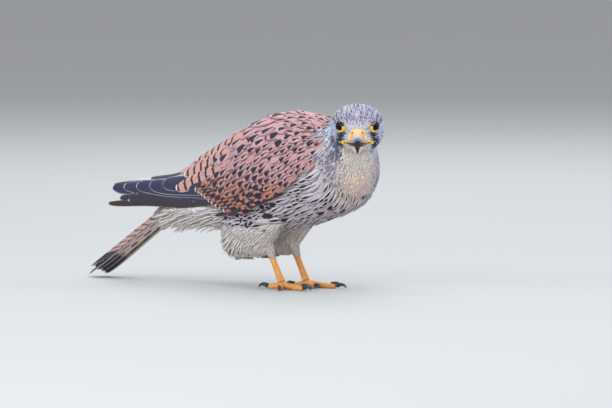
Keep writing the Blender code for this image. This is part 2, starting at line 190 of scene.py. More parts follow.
# Smooth step from 0 at low to 1 at high
def ease(value, low, high):
    t = np.clip((value - low) / (high - low), 0, 1)
    return t * t * (3 - 2 * t)


eyeCentre = (13.0, 12.1, 6.1)
eyeRadius = 5.4
gaze = np.array((0.77, 0.62, 0.09))
gaze /= np.linalg.norm(gaze)
gazeInward = np.cross(gaze, (0, 0, 1.0))
gazeInward /= np.linalg.norm(gazeInward)
gazeAbove = np.cross(gazeInward, gaze)


# Outer edge of the lid's bare skin, as an angle from the gaze, and how bare it is there: widest towards the bill and below
def lidEdge(a):
    toBill = np.clip(np.cos(a - math.radians(124)), 0, 1) ** 1.6
    above = np.exp(-(((np.degrees(a) + 180) % 360 - 180 - 40) / 44) ** 2)
    return np.radians(43 - 13 * above + 36 * toBill), toBill, above


# Head-frame places near an eye: distance from its centre, angle from the gaze, and angle round the gaze
def aboutEye(f, l, u):
    d = np.stack(np.broadcast_arrays(f, np.abs(l), u), -1) - np.array(eyeCentre)
    r = np.maximum(np.linalg.norm(d, axis=-1), 1e-6)
    theta = np.arccos(np.clip(d @ gaze / r, -1, 1))
    return d, r, theta, np.arctan2(d @ gazeInward, d @ gazeAbove)


# Height of the brow's lower edge in the head's frame: it slopes down towards the bill
def browLine(side):
    return np.clip(8.8 + 0.72 * (side - 12.9), 6.5, 12.2)


# Head: s counts sections from the nape forward. Brows, eye hollows and lores are bumps added along the oval
def headSurface(s, t, grow=0.0):
    f, top, low, half = readRows(headTable, s)
    across, up = oval(t)
    l = across * (half + grow)
    u = (top + low) / 2 + up * ((top - low) / 2 + grow - 1.2)
    side = np.abs(l)
    browHeight = browLine(side) + 0.9
    brow = 2.6 * np.exp(-((f - 15.0) / 5.0) ** 2 - ((u - browHeight) / 1.6) ** 2 - ((side - 13.5) / 4.5) ** 2)
    hollow = -1.8 * np.exp(-((f - 16.3) / 3.6) ** 2 - ((u - 5.6) / 3.0) ** 2 - ((side - 14) / 5) ** 2)
    lore = -1.2 * np.exp(-((f - 20.5) / 2.4) ** 2 - ((u - 1.5) / 4.0) ** 2 - ((side - 9) / 3.5) ** 2)
    cheek = 0.9 * np.exp(-((f - 8) / 6) ** 2 - ((u + 7) / 6) ** 2 - ((side - 17) / 6) ** 2)
    push = brow + hollow + lore + cheek
    f, l, u = f + 0.35 * push + 0.45 * brow, l + push * np.sign(l) * 0.7, u - 0.1 * brow
    # Round the hole the brow and lids lie over the ball
    d, r, theta, a = aboutEye(f, l, u)
    over = ease(theta, lidEdge(a)[0] - 0.10, lidEdge(a)[0]) * ease(1.75 - theta, 0, 0.5)
    scale = 1 + over * np.maximum((eyeRadius + 0.7 + 0.6 * grow) / r - 1, 0)
    moved = np.array(eyeCentre) + d * scale[..., None]
    return headPoint(moved[..., 0], moved[..., 1] * np.where(l < 0, -1, 1), moved[..., 2])


# Back and folded wings: x along, t the angle from the top towards the bird's right
def hullSurface(x, t, grow=0.0):
    w = np.interp(x, hullTable[:, 0], hullTable[:, 1])
    z = np.interp(x, hullTable[:, 0], hullTable[:, 2])
    h = np.interp(x, hullTable[:, 0], hullTable[:, 3])
    return np.stack((x + 0 * t, -(w + grow) * np.sin(t), z + (h + grow) * np.cos(t)), -1)


# Thigh: s counts sections downward, t goes round from the front over the outer side, side -1 is the right leg
def thighSurface(s, t, grow=0.0, side=-1):
    z, rear, front, inner, outer = readRows(thighTable, s)
    x = (rear + front) / 2 + ((front - rear) / 2 + grow) * np.cos(t)
    y = (inner + outer) / 2 - ((inner - outer) / 2 + grow) * np.sin(t)
    return np.stack((x, -side * y, z + 0 * t), -1)


# Tail: r runs from root to tip, v across from the right edge at -1 to the left at 1
def tailSurface(r, v):
    half = np.interp(r, np.linspace(0, 1, len(tail["halfWidths"])), tail["halfWidths"])
    x = tail["root"][0] + (tail["tip"][0] - tail["root"][0]) * r
    z = tail["root"][1] + (tail["tip"][1] - tail["root"][1]) * r
    z = z - tail["arch"] * (np.abs(v) ** 1.7 - tail["lift"]) * half / 13
    return np.stack((x, half * v, z), -1)


# Meshes

# Object from points in the bird's tables and a face array or list of arrays
def meshObject(name, points, faces, material=None, smooth=True):
    mesh = bpy.data.meshes.new(name)
    placed = (np.asarray(points).reshape(-1, 3) + frameShift) * mm
    groups = faces if isinstance(faces, list) else [faces]
    sizes = np.concatenate([np.full(len(g), g.shape[1]) for g in groups])
    flat = np.concatenate([g.ravel() for g in groups])
    mesh.vertices.add(len(placed))
    mesh.vertices.foreach_set("co", placed.astype(np.float32).ravel())
    mesh.loops.add(len(flat))
    mesh.loops.foreach_set("vertex_index", flat.astype(np.int32))
    mesh.polygons.add(len(sizes))
    mesh.polygons.foreach_set("loop_start", np.concatenate(([0], np.cumsum(sizes)[:-1])).astype(np.int32))
    mesh.update(calc_edges=True)
    if smooth:
        mesh.shade_smooth()
    item = bpy.data.objects.new(name, mesh)
    bpy.context.scene.collection.objects.link(item)
    if material:
        mesh.materials.append(material)
    return item


# Faces of a grid wrapped round its second direction, with both ends closed by one face each
def tubeFaces(rings, sides, caps=True):
    index = np.arange(rings * sides).reshape(rings, sides)
    ahead = np.roll(index, -1, axis=1)
    quads = np.stack((index[:-1], ahead[:-1], ahead[1:], index[1:]), -1).reshape(-1, 4)
    if not caps:
        return [quads]
    return [quads, index[0][::-1][None, :], index[-1][None, :]]


# UV per corner from one value per vertex
def setUv(item, name, values):
    layer = item.data.uv_layers.new(name=name)
    corner = np.empty(len(item.data.loops), np.int32)
    item.data.loops.foreach_get("vertex_index", corner)
    layer.data.foreach_set("uv", np.asarray(values, np.float32)[corner].ravel())


# Vertex colour or number, named for the shader
def setAttribute(item, name, values):
    values = np.asarray(values, np.float32)
    if values.ndim == 1:
        item.data.attributes.new(name, "FLOAT", "POINT").data.foreach_set("value", values)
    else:
        rgba = np.concatenate((values, np.ones((len(values), 1), np.float32)), axis=1)
        item.data.attributes.new(name, "FLOAT_COLOR", "POINT").data.foreach_set("color", rgba.ravel())


def turnOutward(item):
    work = bmesh.new()
    work.from_mesh(item.data)
    bmesh.ops.recalc_face_normals(work, faces=work.faces)
    work.to_mesh(item.data)
    work.free()


# Tube of rings round a path: centre + radius (cos a side + sin a up), its radius read along the path
def tubeAlong(path, radii, sides, flatten=1.0):
    path = np.asarray(path, float)
    heading = np.gradient(path, axis=0)
    heading /= np.linalg.norm(heading, axis=1, keepdims=True)
    side = np.cross((0.0, 0.0, 1.0), heading)
    side /= np.linalg.norm(side, axis=1, keepdims=True)
    up = np.cross(heading, side)
    a = np.arange(sides) / sides * tau
    radii = np.asarray(radii, float)[:, None, None]
    return (path[:, None] + radii * (np.cos(a)[None, :, None] * side[:, None]
            + flatten * np.sin(a)[None, :, None] * up[:, None]))


# Shaders

# One socket, with the arithmetic that a value needs
class Wire:
    def __init__(self, graph, socket):
        self.graph = graph
        self.socket = socket

    def maths(self, operation, *others):
        values = dict(enumerate((self, *others)))
        return self.graph.add("ShaderNodeMath", {"operation": operation}, values)

    def __add__(self, other):
        return self.maths("ADD", other)

    __radd__ = __add__

    def __sub__(self, other):
        return self.maths("SUBTRACT", other)

    def __rsub__(self, other):
        return self.graph.add("ShaderNodeMath", {"operation": "SUBTRACT"}, {0: other, 1: self})

    def __mul__(self, other):
        return self.maths("MULTIPLY", other)

    __rmul__ = __mul__

    def __truediv__(self, other):
        return self.maths("DIVIDE", other)

    def clamp(self):
        return self.graph.add("ShaderNodeClamp", {}, {"Value": self})

    def away(self, centre):
        return (self - centre).maths("ABSOLUTE")

    def wave(self):
        return self.maths("SINE")

    # 0 below low and 1 above high, smoothly
    def step(self, low, high):
        settings = {"interpolation_type": "SMOOTHSTEP"}
        return self.graph.add("ShaderNodeMapRange", settings, {"Value": self, "From Min": low, "From Max": high})


# One material's node tree
class Graph:
    def __init__(self, name, roughness=0.7, **constants):
        self.material = bpy.data.materials.new(name)
        self.material.use_nodes = True
        self.tree = self.material.node_tree
        self.shader = self.tree.nodes["Principled BSDF"]
        self.shader.inputs["Roughness"].default_value = roughness
        for socket, value in constants.items():
            self.shader.inputs[socket.replace("_", " ")].default_value = value

    def add(self, kind, settings, inputs, out=0):
        node = self.tree.nodes.new(kind)
        for key, value in settings.items():
            setattr(node, key, value)
        for key, value in inputs.items():
            if isinstance(value, Wire):
                self.tree.links.new(value.socket, node.inputs[key])
            else:
                node.inputs[key].default_value = value
        return Wire(self, node.outputs[out])

    def feed(self, socket, wire):
        self.tree.links.new(wire.socket, self.shader.inputs[socket])

    def mix(self, share, first, second):
        def colour(value):
            return value if isinstance(value, Wire) else (*value, 1.0)
        return self.add("ShaderNodeMix", {"data_type": "RGBA"}, {0: share, 6: colour(first), 7: colour(second)}, 2)

    def attribute(self, name, out):
        return self.add("ShaderNodeAttribute", {"attribute_name": name}, {}, out)

    def place(self, uvName):
        where = self.add("ShaderNodeUVMap", {"uv_map": uvName}, {})
        split = self.add("ShaderNodeSeparateXYZ", {}, {0: where})
        return split, Wire(self, split.socket.node.outputs[1])

    def here(self):
        return self.add("ShaderNodeTexCoord", {}, {}, 3)

    def noise(self, scale, detail=2.0, out=0, vector=None):
        return self.add("ShaderNodeTexNoise", {}, {"Vector": vector or self.here(), "Scale": scale, "Detail": detail}, out)

    def bump(self, height, strength, distance):
        made = self.add("ShaderNodeBump", {}, {"Height": height, "Strength": strength, "Distance": distance})
        self.feed("Normal", made)


# sRGB bytes to the linear values that shaders take
def srgb(r, g, b):
    c = np.array((r, g, b)) / 255
    return tuple(np.where(c <= 0.04045, c / 12.92, ((c + 0.055) / 1.055) ** 2.4))


shades = {
    "ink": srgb(36, 36, 56),
    "slate": srgb(38, 43, 76),
    "darkBrown": srgb(58, 42, 46),
    "fringe": srgb(226, 214, 206),
    "cream": srgb(238, 225, 216),
    "buff": srgb(216, 190, 168),
    "pinkRufous": srgb(198, 152, 155),
    "rufous": srgb(186, 122, 102),
    "peach": srgb(240, 214, 196),
    "breast": srgb(203, 193, 200),
    "brown": srgb(52, 34, 36),
    "grey": srgb(206, 202, 218),
    "paleGrey": srgb(212, 217, 236),
    "darkGrey": srgb(60, 58, 80),
    "streakGrey": srgb(114, 110, 142),
    "white": srgb(230, 226, 226),
    "down": srgb(226, 217, 211),
}


# Feather shader. v runs from the root at 0 to the tip at 1 and u across from 0 to 1.
# Each mark is a mask drawn in u and v, times the feather's own "mark" number.
def featherMaterial(name, mark, dark="ink", fringe=0.0, fringeColour="fringe", roughness=0.62, fine=26.0,
                    bars=3.0, offset=0.42, wide=0.6, start=0.52, barFrom=0.46, tip=(0.93, 0.975), rimAt=(0.8, 0.93), shaftTone=0.3):
    g = Graph(name, roughness=roughness, Specular_IOR_Level=0.28, Sheen_Weight=0.04)
    u, v = g.place("vane")
    side = u.away(0.5) * 2.0
    tint = g.attribute("tint", 0)
    strength = g.attribute("mark", 2)
    chance = g.attribute("chance", 2)
    wobble = (g.noise(420.0) - 0.5) * 0.16
    if mark == "drop":
        band = 0.10 + wide * (0.8 + chance.step(0.86, 0.92) * 1.6) * v.step(0.5, 0.82) * (1.0 - v.step(0.88, 0.98))
        shape = (1.0 - (side + wobble).step(band * 0.7, band * 1.2)) * v.step(0.25, 0.4) * (1.0 - v.step(0.93, 0.98))
    elif mark == "arrow":
        band = 0.12 + wide * (0.6 + 0.6 * chance) * (v + (chance - 0.5) * 0.1).step(start, 0.84)
        shape = (1.0 - (side + wobble).step(band * 0.75, band * 0.95)) * v.step(start - 0.08, start) * (1.0 - (v + wobble * 0.4).step(0.84, 0.88))
    elif mark == "bars":
        place = v * bars + u.step(0.47, 0.53) * offset + side * 0.15 + chance * 0.4 + wobble
        saw = place.maths("FRACT")
        shape = saw.step(barFrom, barFrom + 0.07) * (1.0 - saw.step(0.90, 0.97)) * (1.0 - side.step(0.84, 0.94) * 0.8) * v.step(0.1, 0.2)
    elif mark == "tail":
        place = v * bars + side * 0.25 + wobble
        saw = place.maths("FRACT")
        thin = saw.step(0.58, 0.64) * (1.0 - saw.step(0.84, 0.9)) * (1.0 - v.step(0.80, 0.84)) * 0.85
        band = (v + side * 0.012 + wobble * 0.1).step(0.80, 0.83) * (1.0 - (v + wobble * 0.1).step(0.955, 0.97))
        shape = (thin + band).clamp()
    elif mark == "streaks":
        dash = (v * bars + chance * 7.0 + wobble * 2.0).maths("FRACT")
        thin = dash.step(0.25, 0.4) * (1.0 - dash.step(0.8, 0.95)) * (1.0 - (side + wobble * 2.0).step(0.3, 0.55))
        band = (v + wobble * 0.3).step(0.78, 0.83) * (1.0 - (v + wobble * 0.1).step(0.975, 0.985))
        shape = (thin * (1.0 - v.step(0.76, 0.82)) * 0.8 + band).clamp()
    else:
        shape = side * 0.0
    mask = (shape * strength).clamp()
    tone = (0.90 + 0.2 * g.noise(160.0, 3.0)).clamp()
    base = g.mix(tone, shades[dark], tint)
    if fringe:
        rim = ((side + wobble * 0.5).step(*rimAt) * 0.8 + (v + wobble * 0.2).step(*tip)).clamp() * fringe
        base = g.mix(rim, base, shades[fringeColour])
        mask = mask * (1.0 - rim * 0.85)
    shaft = (1.0 - side.step(0.02, 0.09)) * (1.0 - v.step(0.8, 1.0)) * shaftTone
    base = g.mix(shaft, base, shades[dark])
    g.feed("Base Color", g.mix(mask, base, shades[dark]))
    barbs = ((v * fine + side * fine * 0.38 + chance * 5.0) * tau).wave()
    g.bump(barbs * 0.5 + (1.0 - side.step(0.0, 0.14)) * (1.0 if shaftTone else 0.0), 0.5, 0.00012)
    return g.material


# Vanes

# Outward unit normal from two small steps on the surface
def surfaceFrame(surface, p, q, stepP, stepQ, outward):
    here = surface(p, q)
    alongP = (surface(p + stepP, q) - here) / stepP
    alongQ = (surface(p, q + stepQ) - here) / stepQ
    normal = np.cross(alongP, alongQ) * outward
    normal /= np.maximum(np.linalg.norm(normal, axis=-1, keepdims=True), 1e-9)
    return here, alongP, alongQ, normal


# Width of a vane from root to tip: rises from a narrow root and closes as sqrt(1 - a^p)
def vaneWidth(a, blunt, root=0.3):
    rise = np.clip(a / 0.5, 0, 1)
    rise = rise * rise * (3 - 2 * rise)
    return (root + (1 - root) * rise) * np.sqrt(np.clip(1 - a**blunt, 0.0, 1))


vaneDefaults = {
    "rows": 6, "columns": 3, "blunt": 3.5, "thick": 0.10, "camber": 0.35, "curl": 0.0,
    "root": 0.3, "liftRoot": -1.6, "liftTip": 0.4, "ripple": 0.0, "notch": 0.0, "liftEach": 0.0, "flare": 0.0,
}


# One joined mesh of vanes. Each has a root and tip in the surface's own p and q, and a width in mm.
# A point is surface(p(a) + across, q(a) + across) + normal (lift(a) - camber b^2), on its upper and lower side.
def vanes(name, surface, rootP, rootQ, tipP, tipQ, width, colour, mark, material, outward=1.0,
          steps=(0.01, 0.01), seed=1, cells=False, **changes):
    o = {**vaneDefaults, **changes}
    count = len(rootP)
    rng = np.random.default_rng(seed)
    a = np.linspace(0.0, 1.0, o["rows"]) ** 0.85
    a[-1] = 0.992
    b = np.linspace(-1, 1, o["columns"])
    ringB = np.concatenate((b, b[1:-1][::-1]))
    upper = np.concatenate((np.ones(len(b)), -np.ones(len(b) - 2)))
    A = a[None, :, None]
    B = ringB[None, None, :]
    p = rootP[:, None, None] + (tipP - rootP)[:, None, None] * A
    q = rootQ[:, None, None] + (tipQ - rootQ)[:, None, None] * A
    here, alongP, alongQ, normal = surfaceFrame(surface, p, q, *steps, outward)
    travel = (tipP - rootP)[:, None, None, None] * alongP + (tipQ - rootQ)[:, None, None, None] * alongQ
    travel /= np.maximum(np.linalg.norm(travel, axis=-1, keepdims=True), 1e-9)
    across = np.cross(normal, travel)
    # The step across is taken in the surface's own p and q, so that a wide vane bends with the surface
    gPP = np.sum(alongP * alongP, -1)
    gPQ = np.sum(alongP * alongQ, -1)
    gQQ = np.sum(alongQ * alongQ, -1)
    det = np.maximum(gPP * gQQ - gPQ**2, 1e-9)
    cP = np.sum(across * alongP, -1)
    cQ = np.sum(across * alongQ, -1)
    dP = (gQQ * cP - gPQ * cQ) / det
    dQ = (gPP * cQ - gPQ * cP) / det
    half = width[:, None, None] / 2 * vaneWidth(A, o["blunt"], o["root"])
    jag = 1 + o["notch"] * (rng.random((count, len(a), len(ringB))) - 0.5)
    reach = half * B * jag
    here, _, _, normal = surfaceFrame(surface, p + dP * reach, q + dQ * reach, *steps, outward)
    lift = o["liftRoot"] + (o["liftTip"] - o["liftRoot"]) * A + o["curl"] * A**3
    lift = lift - o["camber"] * (half / 3) * B**2
    lift = lift + o["ripple"] * np.sin(A * 9 + rng.random((count, 1, 1)) * tau) * A
    lift = lift + (rng.random((count, 1, 1)) - 0.5) * 0.3 * abs(o["liftTip"] - o["liftRoot"]) * A
    each, flare = (np.broadcast_to(o[key], count)[:, None, None] for key in ("liftEach", "flare"))
    lift = lift + each + flare * A**2
    body3 = upper[None, None, :] * o["thick"] * (1 - B**2) * (1 - 0.5 * A)
    points = here + normal * (lift + body3)[..., None]
    rings, sides = len(a), len(ringB)
    base = (np.arange(count) * rings * sides)[:, None, None]
    index = np.arange(rings * sides).reshape(rings, sides)
    ahead = np.roll(index, -1, axis=1)
    quad = np.stack((index[:-1], index[1:], ahead[1:], ahead[:-1]), -1).reshape(1, -1, 4)
    ends = [index[0][None, None, :], index[-1][::-1][None, None, :]]
    faces = [(quad + base).reshape(-1, 4)] + [(e + base).reshape(-1, sides) for e in ends]
    item = meshObject(name, points, faces, material)
    vane = np.stack(np.broadcast_arrays((B + 1) / 2, A), -1)
    vane = np.broadcast_to(vane, (count, rings, sides, 2))
    setUv(item, "vane", vane.reshape(-1, 2))
    if cells:
        side = math.ceil(math.sqrt(count))
        corner = np.stack((np.arange(count) % side, np.arange(count) // side), -1) / side
        patch = corner[:, None, None, :] + (0.06 + 0.88 * vane) / side
    else:
        span = lambda value: (value - value.min()) / max(value.max() - value.min(), 1e-6)
        corner = 0.003 + 0.99 * np.stack((span(rootP), span(rootQ)), -1)
        patch = corner[:, None, None, :] + 0.003 * (vane - 0.5)
    setUv(item, "OFBake", patch.reshape(-1, 2))
    tile = lambda value: np.repeat(np.asarray(value), rings * sides, axis=0)
    setAttribute(item, "tint", tile(colour))
    setAttribute(item, "mark", tile(mark))
    setAttribute(item, "chance", tile(rng.random(count)))
    return item


# Rows of roots over a surface: each row at one p, its places across spaced in mm, every other row shifted
def rootsOver(surface, rowsP, qLow, qHigh, spacing, rng, jitter=0.25):
    p, q = [], []
    for i, rowP in enumerate(rowsP):
        low, high = qLow(rowP), qHigh(rowP)
        if high <= low:
            continue
        line = np.linspace(low, high, 60)
        ring = surface(np.full(60, rowP), line)
        gaps = np.linalg.norm(np.diff(ring, axis=0), axis=1)
        length = np.concatenate(([0], np.cumsum(gaps)))
        step = spacing(rowP)
        number = max(int(length[-1] / step), 1)
        places = (np.arange(number) + (0.25 if i % 2 else 0.75) + (rng.random(number) - 0.5) * jitter) * length[-1] / number
        q.append(np.interp(places, length, line))
        p.append(np.full(number, rowP) + (rng.random(number) - 0.5) * jitter * abs(rowsP[1] - rowsP[0]))
    return np.concatenate(p), np.concatenate(q)


# Tips that lie a length in mm from their roots, turned by an angle from the way p grows
def tipsFrom(surface, p, q, length, turn, sense, steps=(0.01, 0.01)):
    _, alongP, alongQ, _ = surfaceFrame(surface, p, q, *steps, 1.0)
    lengthP = np.linalg.norm(alongP, axis=-1)
    lengthQ = np.maximum(np.linalg.norm(alongQ, axis=-1), 1.0)
    return p + sense * length * np.cos(turn) / lengthP, q + length * np.sin(turn) / lengthQ


def blend(share, first, second):
    share = np.clip(share, 0, 1)[..., None]
    return (1 - share) * np.asarray(first) + share * np.asarray(second)


# Colour at each place, the same for skin and coat

# Moustache: a band down the side of the face, further out the lower it is
def moustacheAt(f, side, u):
    middle = 12.2 + 0.28 * (1.5 - u)
    wide = 3.5
    return np.exp(-(((side - middle) / wide) ** 4)) * ease(4.0 - u, 0, 2.0) * ease(u, -19, -13) * ease(f, -3, 4)


# Head: grey streaked crown, pale forehead, cheeks and throat, a dark band under the brow's edge that is painted shade,
# and a broken moustache
def headColour(points):
    f, l, u = toHead(points)
    side = np.abs(l)
    line = browLine(side)
    crown = ease(u - line, -0.5, 1.0)
    colour = blend(crown, shades["paleGrey"], shades["grey"])
    forehead = ease(f, 16, 21) * ease(11.0 - u, 0, 5.0) * ease(11.5 - side, 0, 4)
    colour = blend(forehead * 0.5, colour, shades["white"])
    throat = ease(-u, 6, 9) * ease(f, 2, 9) * ease(13.5 - side, 0, 3)
    colour = blend(throat, colour, shades["white"])
    # Dark band along the brow's lower edge over the eye: painted shade under the brow ridge
    under = np.exp(-(((u - line + 0.2) / 1.0) ** 2)) * ease(f, 0, 6) * ease(side, 9.5, 11.5)
    behind = np.exp(-(((side - 18.6) / 2.2) ** 2) - ((u - 8.0) / 2.2) ** 2) * ease(f, -1, 4)
    dark = np.clip(under * 0.9 + moustacheAt(f, side, u) + behind * 0.85, 0, 1)
    colour = blend(dark, colour, shades["darkGrey"])
    streak = 0.36 * crown * (1 - forehead) + 0.16 * (1 - crown) * (1 - forehead) * (1 - throat) * ease(side, 13, 18)
    return colour, np.clip(streak * (1 - dark), 0, 1), dark


# Trunk and neck: rufous over the top, pale below with streaks and drops, plain at the throat and the vent
def bodyColour(points, t):
    x, z = points[:, 0], points[:, 2]
    f, l, u = toHead(points)
    up = np.cos(t)
    side = np.abs(l)
    middle = ease(18 - side, 0, 15) * ease(f, -4, 6)
    colour = blend(middle * ease(z, 70, 100), shades["breast"], shades["peach"])
    chin = ease(f, -2, 6) * ease(17 - side, 0, 10) * ease(z, 96, 110)
    colour = blend(chin, colour, shades["cream"])
    colour = blend(ease(up, 0.15, 0.5), colour, shades["pinkRufous"])
    neckSide = ease(21.5 - np.sqrt(f**2 + (l * 0.9) ** 2 + u**2), -5, 0) * ease(f, -13, -6)
    colour = blend(neckSide * (1 - chin), colour, shades["paleGrey"])
    colour = blend(moustacheAt(f, side, u) * 0.85, colour, shades["darkGrey"])
    vent = ease(-x, 36, 56) * ease(0.3 - up, 0, 0.3)
    colour = blend(vent, colour, shades["white"])
    colour = blend(ease(-x, 60, 90) * ease(up, 0.2, 0.5), colour, shades["grey"])
    fluff = ease(24 - x, 0, 14) * ease(54 - z, 0, 8)
    colour = blend(fluff, colour, shades["cream"])
    mark = np.clip(1 - vent - chin - fluff, 0, 1)
    return colour, mark


def hullColour(x, t):
    low = ease(np.degrees(np.abs(t)) + 0.35 * -np.asarray(x), 70, 105)
    colour = blend(low, shades["pinkRufous"], shades["rufous"])
    return colour, np.full(len(x), 0.95)


def scattered(colour, rng, amount=0.08):
    return np.clip(colour * (1 + (rng.random((len(colour), 1)) - 0.5) * 2 * amount), 0, 1)


pieces = []


def finishPiece(item, slot, *nodes):
    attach(item, "root")
    if nodes:
        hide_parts(*nodes)
    pieces.append(item)
    return item


# Skin: one closed mesh under the whole coat

# Closed shell of rings, each a row of points
def shell(rings):
    rings = np.asarray(rings)
    return rings.reshape(-1, 3), tubeFaces(*rings.shape[:2])


def ringsOf(surface, p, sides=48, **extra):
    t = np.arange(sides) / sides * tau
    return surface(np.broadcast_to(np.asarray(p, float)[:, None], (len(p), sides)), np.broadcast_to(t, (len(p), sides)), **extra)


# Wing shell: an arc over the back between the wings' lower edges, closed by a flat chord below
def wingShell(grow, xs):
    end = np.radians(np.interp(xs, hullTable[:, 0], hullTable[:, 4]) - 3)
    t = np.linspace(-1, 1, 41)[None, :] * end[:, None]
    arc = hullSurface(np.broadcast_to(xs[:, None], t.shape), t, grow)
    k = np.linspace(0, 1, 12)[None, 1:-1, None]
    chord = arc[:, -1:] * (1 - k) + arc[:, :1] * k
    return np.concatenate((arc, chord), axis=1)


# Pushes skin that covers an eye back behind the ball: inside the hole the distance becomes the given one
def openEyes(points, distance):
    f, l, u = toHead(points)
    d, r, theta, a = aboutEye(f, l, u)
    inside = (theta < lidEdge(a)[0] + 0.07) & (r > distance) & (r < 12)
    scale = np.where(inside, distance / r, 1.0)
    moved = np.array(eyeCentre) + d * scale[:, None]
    return np.where(inside[:, None], headPoint(moved[:, 0], moved[:, 1] * np.where(l < 0, -1, 1), moved[:, 2]), points)


# Markings of skin and coat at any point, by the tract it lies in
def placeColour(points):
    x, y, z = points.T
    f, l, u = toHead(points)
    top = np.interp(x, bodyTable[:, 0], bodyTable[:, 2])
    low = np.interp(x, bodyTable[:, 3], bodyTable[:, 5])
    t = np.arctan2(np.abs(y) / 38, (z - (top + low) / 2) / np.maximum((top - low) / 2, 5))
    colour, _ = bodyColour(points, t)
    w = np.interp(x, hullTable[:, 0], hullTable[:, 1])
    mid = np.interp(x, hullTable[:, 0], hullTable[:, 2])
    h = np.interp(x, hullTable[:, 0], hullTable[:, 3])
    hullT = np.arctan2(-y / w, (z - mid) / h)
    reach = np.hypot(y / w, (z - mid) / h)
    wing, _ = hullColour(x, hullT)
    wing = blend(ease(-x, 62, 70) * ease(np.degrees(np.abs(hullT)), 30, 60), wing, shades["slate"])
    wing = blend(ease(-x, 62, 75) * (1 - ease(np.degrees(np.abs(hullT)), 30, 60)), wing, shades["grey"])
    end = np.interp(x, hullTable[:, 0], hullTable[:, 4])
    onWing = ease(reach, 0.80, 0.9) * (np.degrees(np.abs(hullT)) < end - 1) * (x < 60)
    colour = blend(onWing, colour, wing)
    face, _, _ = headColour(points)
    nearHead = ease(24 - np.sqrt(f**2 + l**2 + u**2), 0, 3)
    colour = blend(nearHead, colour, face)
    return blend(ease(-x, 90, 120) * (z < 62), colour, shades["white"])


def makeSkin():
    print("skin: one mesh under the coat")
    shells = [
        shell(ringsOf(bodySurface, np.linspace(0.3, bodyEnd, 90), grow=-body["sink"])),
        shell(ringsOf(headSurface, np.linspace(0, headEnd, 70), grow=-head["sink"])),
        shell(wingShell(-2.9, np.linspace(52, -168, 60))[:, ::-1]),
    ]
    for side in (-1, 1):
        shells.append(shell(ringsOf(thighSurface, np.linspace(0, thighEnd, 40), grow=-thigh["sink"], side=side)))
    points, faces, start = [], [], 0
    for corners, groups in shells:
        points.append(corners)
        faces += [g + start for g in groups]
        start += len(corners)
    item = meshObject("skin_kestrel", np.concatenate(points), faces)
    turnOutward(item)
    remesh = item.modifiers.new("one_skin", "REMESH")
    remesh.mode = "VOXEL"
    remesh.voxel_size = 1.15 * mm
    soften = item.modifiers.new("soften", "SMOOTH")
    soften.factor = 0.6
    soften.iterations = 8
    merged = bpy.data.meshes.new_from_object(item.evaluated_get(bpy.context.evaluated_depsgraph_get()))
    item.modifiers.clear()
    item.data = merged
    merged.shade_smooth()
    co = np.empty(len(merged.vertices) * 3, np.float32)
    merged.vertices.foreach_get("co", co)
    corners = co.reshape(-1, 3) / mm - frameShift
    corners = openEyes(corners, eyeRadius - 1.0)
    merged.vertices.foreach_set("co", ((corners + frameShift) * mm).astype(np.float32).ravel())
    setAttribute(item, "tint", placeColour(corners))
    g = Graph("skin", roughness=0.75)
    tone = g.noise(260.0, 4.0) * 0.25
    g.feed("Base Color", g.mix(tone, g.attribute("tint", 0), shades["darkGrey"]))
    g.bump(g.noise(900.0, 3.0), 0.4, 0.0003)
    item.data.materials.append(g.material)
    finishPiece(item, "body_feathers", "head", "neck", "trunk", "wing_left", "wing_right", "thigh_left", "thigh_right")


# Coat: tracts of vanes, from the tail forward

materials = {}


def makeMaterials():
    print("feather finishes")
    materials["face"] = featherMaterial("face_tufts", "plain", dark="darkGrey", fine=9.0, shaftTone=0.0)
    materials["soft"] = featherMaterial("soft_tufts", "plain", roughness=0.8, fine=14.0, shaftTone=0.0)
    materials["breast"] = featherMaterial("breast_vanes", "drop", dark="brown", fine=20.0, wide=0.35, shaftTone=0.12)
    materials["flank"] = featherMaterial("flank_vanes", "drop", dark="brown", fine=20.0, wide=0.34, shaftTone=0.1)
    materials["mantle"] = featherMaterial("mantle_vanes", "arrow", fringe=0.4, fringeColour="paleGrey", wide=0.62,
                                          start=0.5, shaftTone=0.15)
    materials["covert"] = featherMaterial("covert_vanes", "arrow", fringe=0.55, wide=0.62, start=0.46, shaftTone=0.2)
    materials["barred"] = featherMaterial("barred_vanes", "bars", fringe=0.5, bars=1.6, barFrom=0.30, offset=0.5, shaftTone=0.3)
    materials["tertial"] = featherMaterial("tertial_vanes", "bars", fringe=1.0, fringeColour="white", bars=7.0, offset=0.1, barFrom=0.6,
                                           tip=(0.955, 0.97), rimAt=(0.80, 0.88))
    materials["secondary"] = featherMaterial("secondary_vanes", "bars", fringe=1.0, fringeColour="white", bars=4.0, offset=0.5,
                                             barFrom=0.36, tip=(0.955, 0.97), rimAt=(0.84, 0.92))
    materials["flight"] = featherMaterial("flight_vanes", "plain", fringe=0.95, fringeColour="white", roughness=0.42,
                                          fine=60.0, tip=(0.982, 0.988), rimAt=(0.85, 0.93), shaftTone=0.5)
    materials["tail"] = featherMaterial("tail_vanes", "tail", fringe=0.9, fringeColour="white", roughness=0.55, fine=70.0,
                                        bars=14.0, tip=(0.97, 0.98), rimAt=(0.93, 1.0))
    materials["tailUnder"] = featherMaterial("tail_under_vanes", "streaks", fringe=0.9, fringeColour="white",
                                             roughness=0.6, fine=70.0, bars=8.0, tip=(0.98, 0.99), rimAt=(0.55, 0.8))


headCoat = {"crown": (7.0, 1.4), "face": (3.2, 1.1), "rowStep": 1.35, "spacing": 0.95}


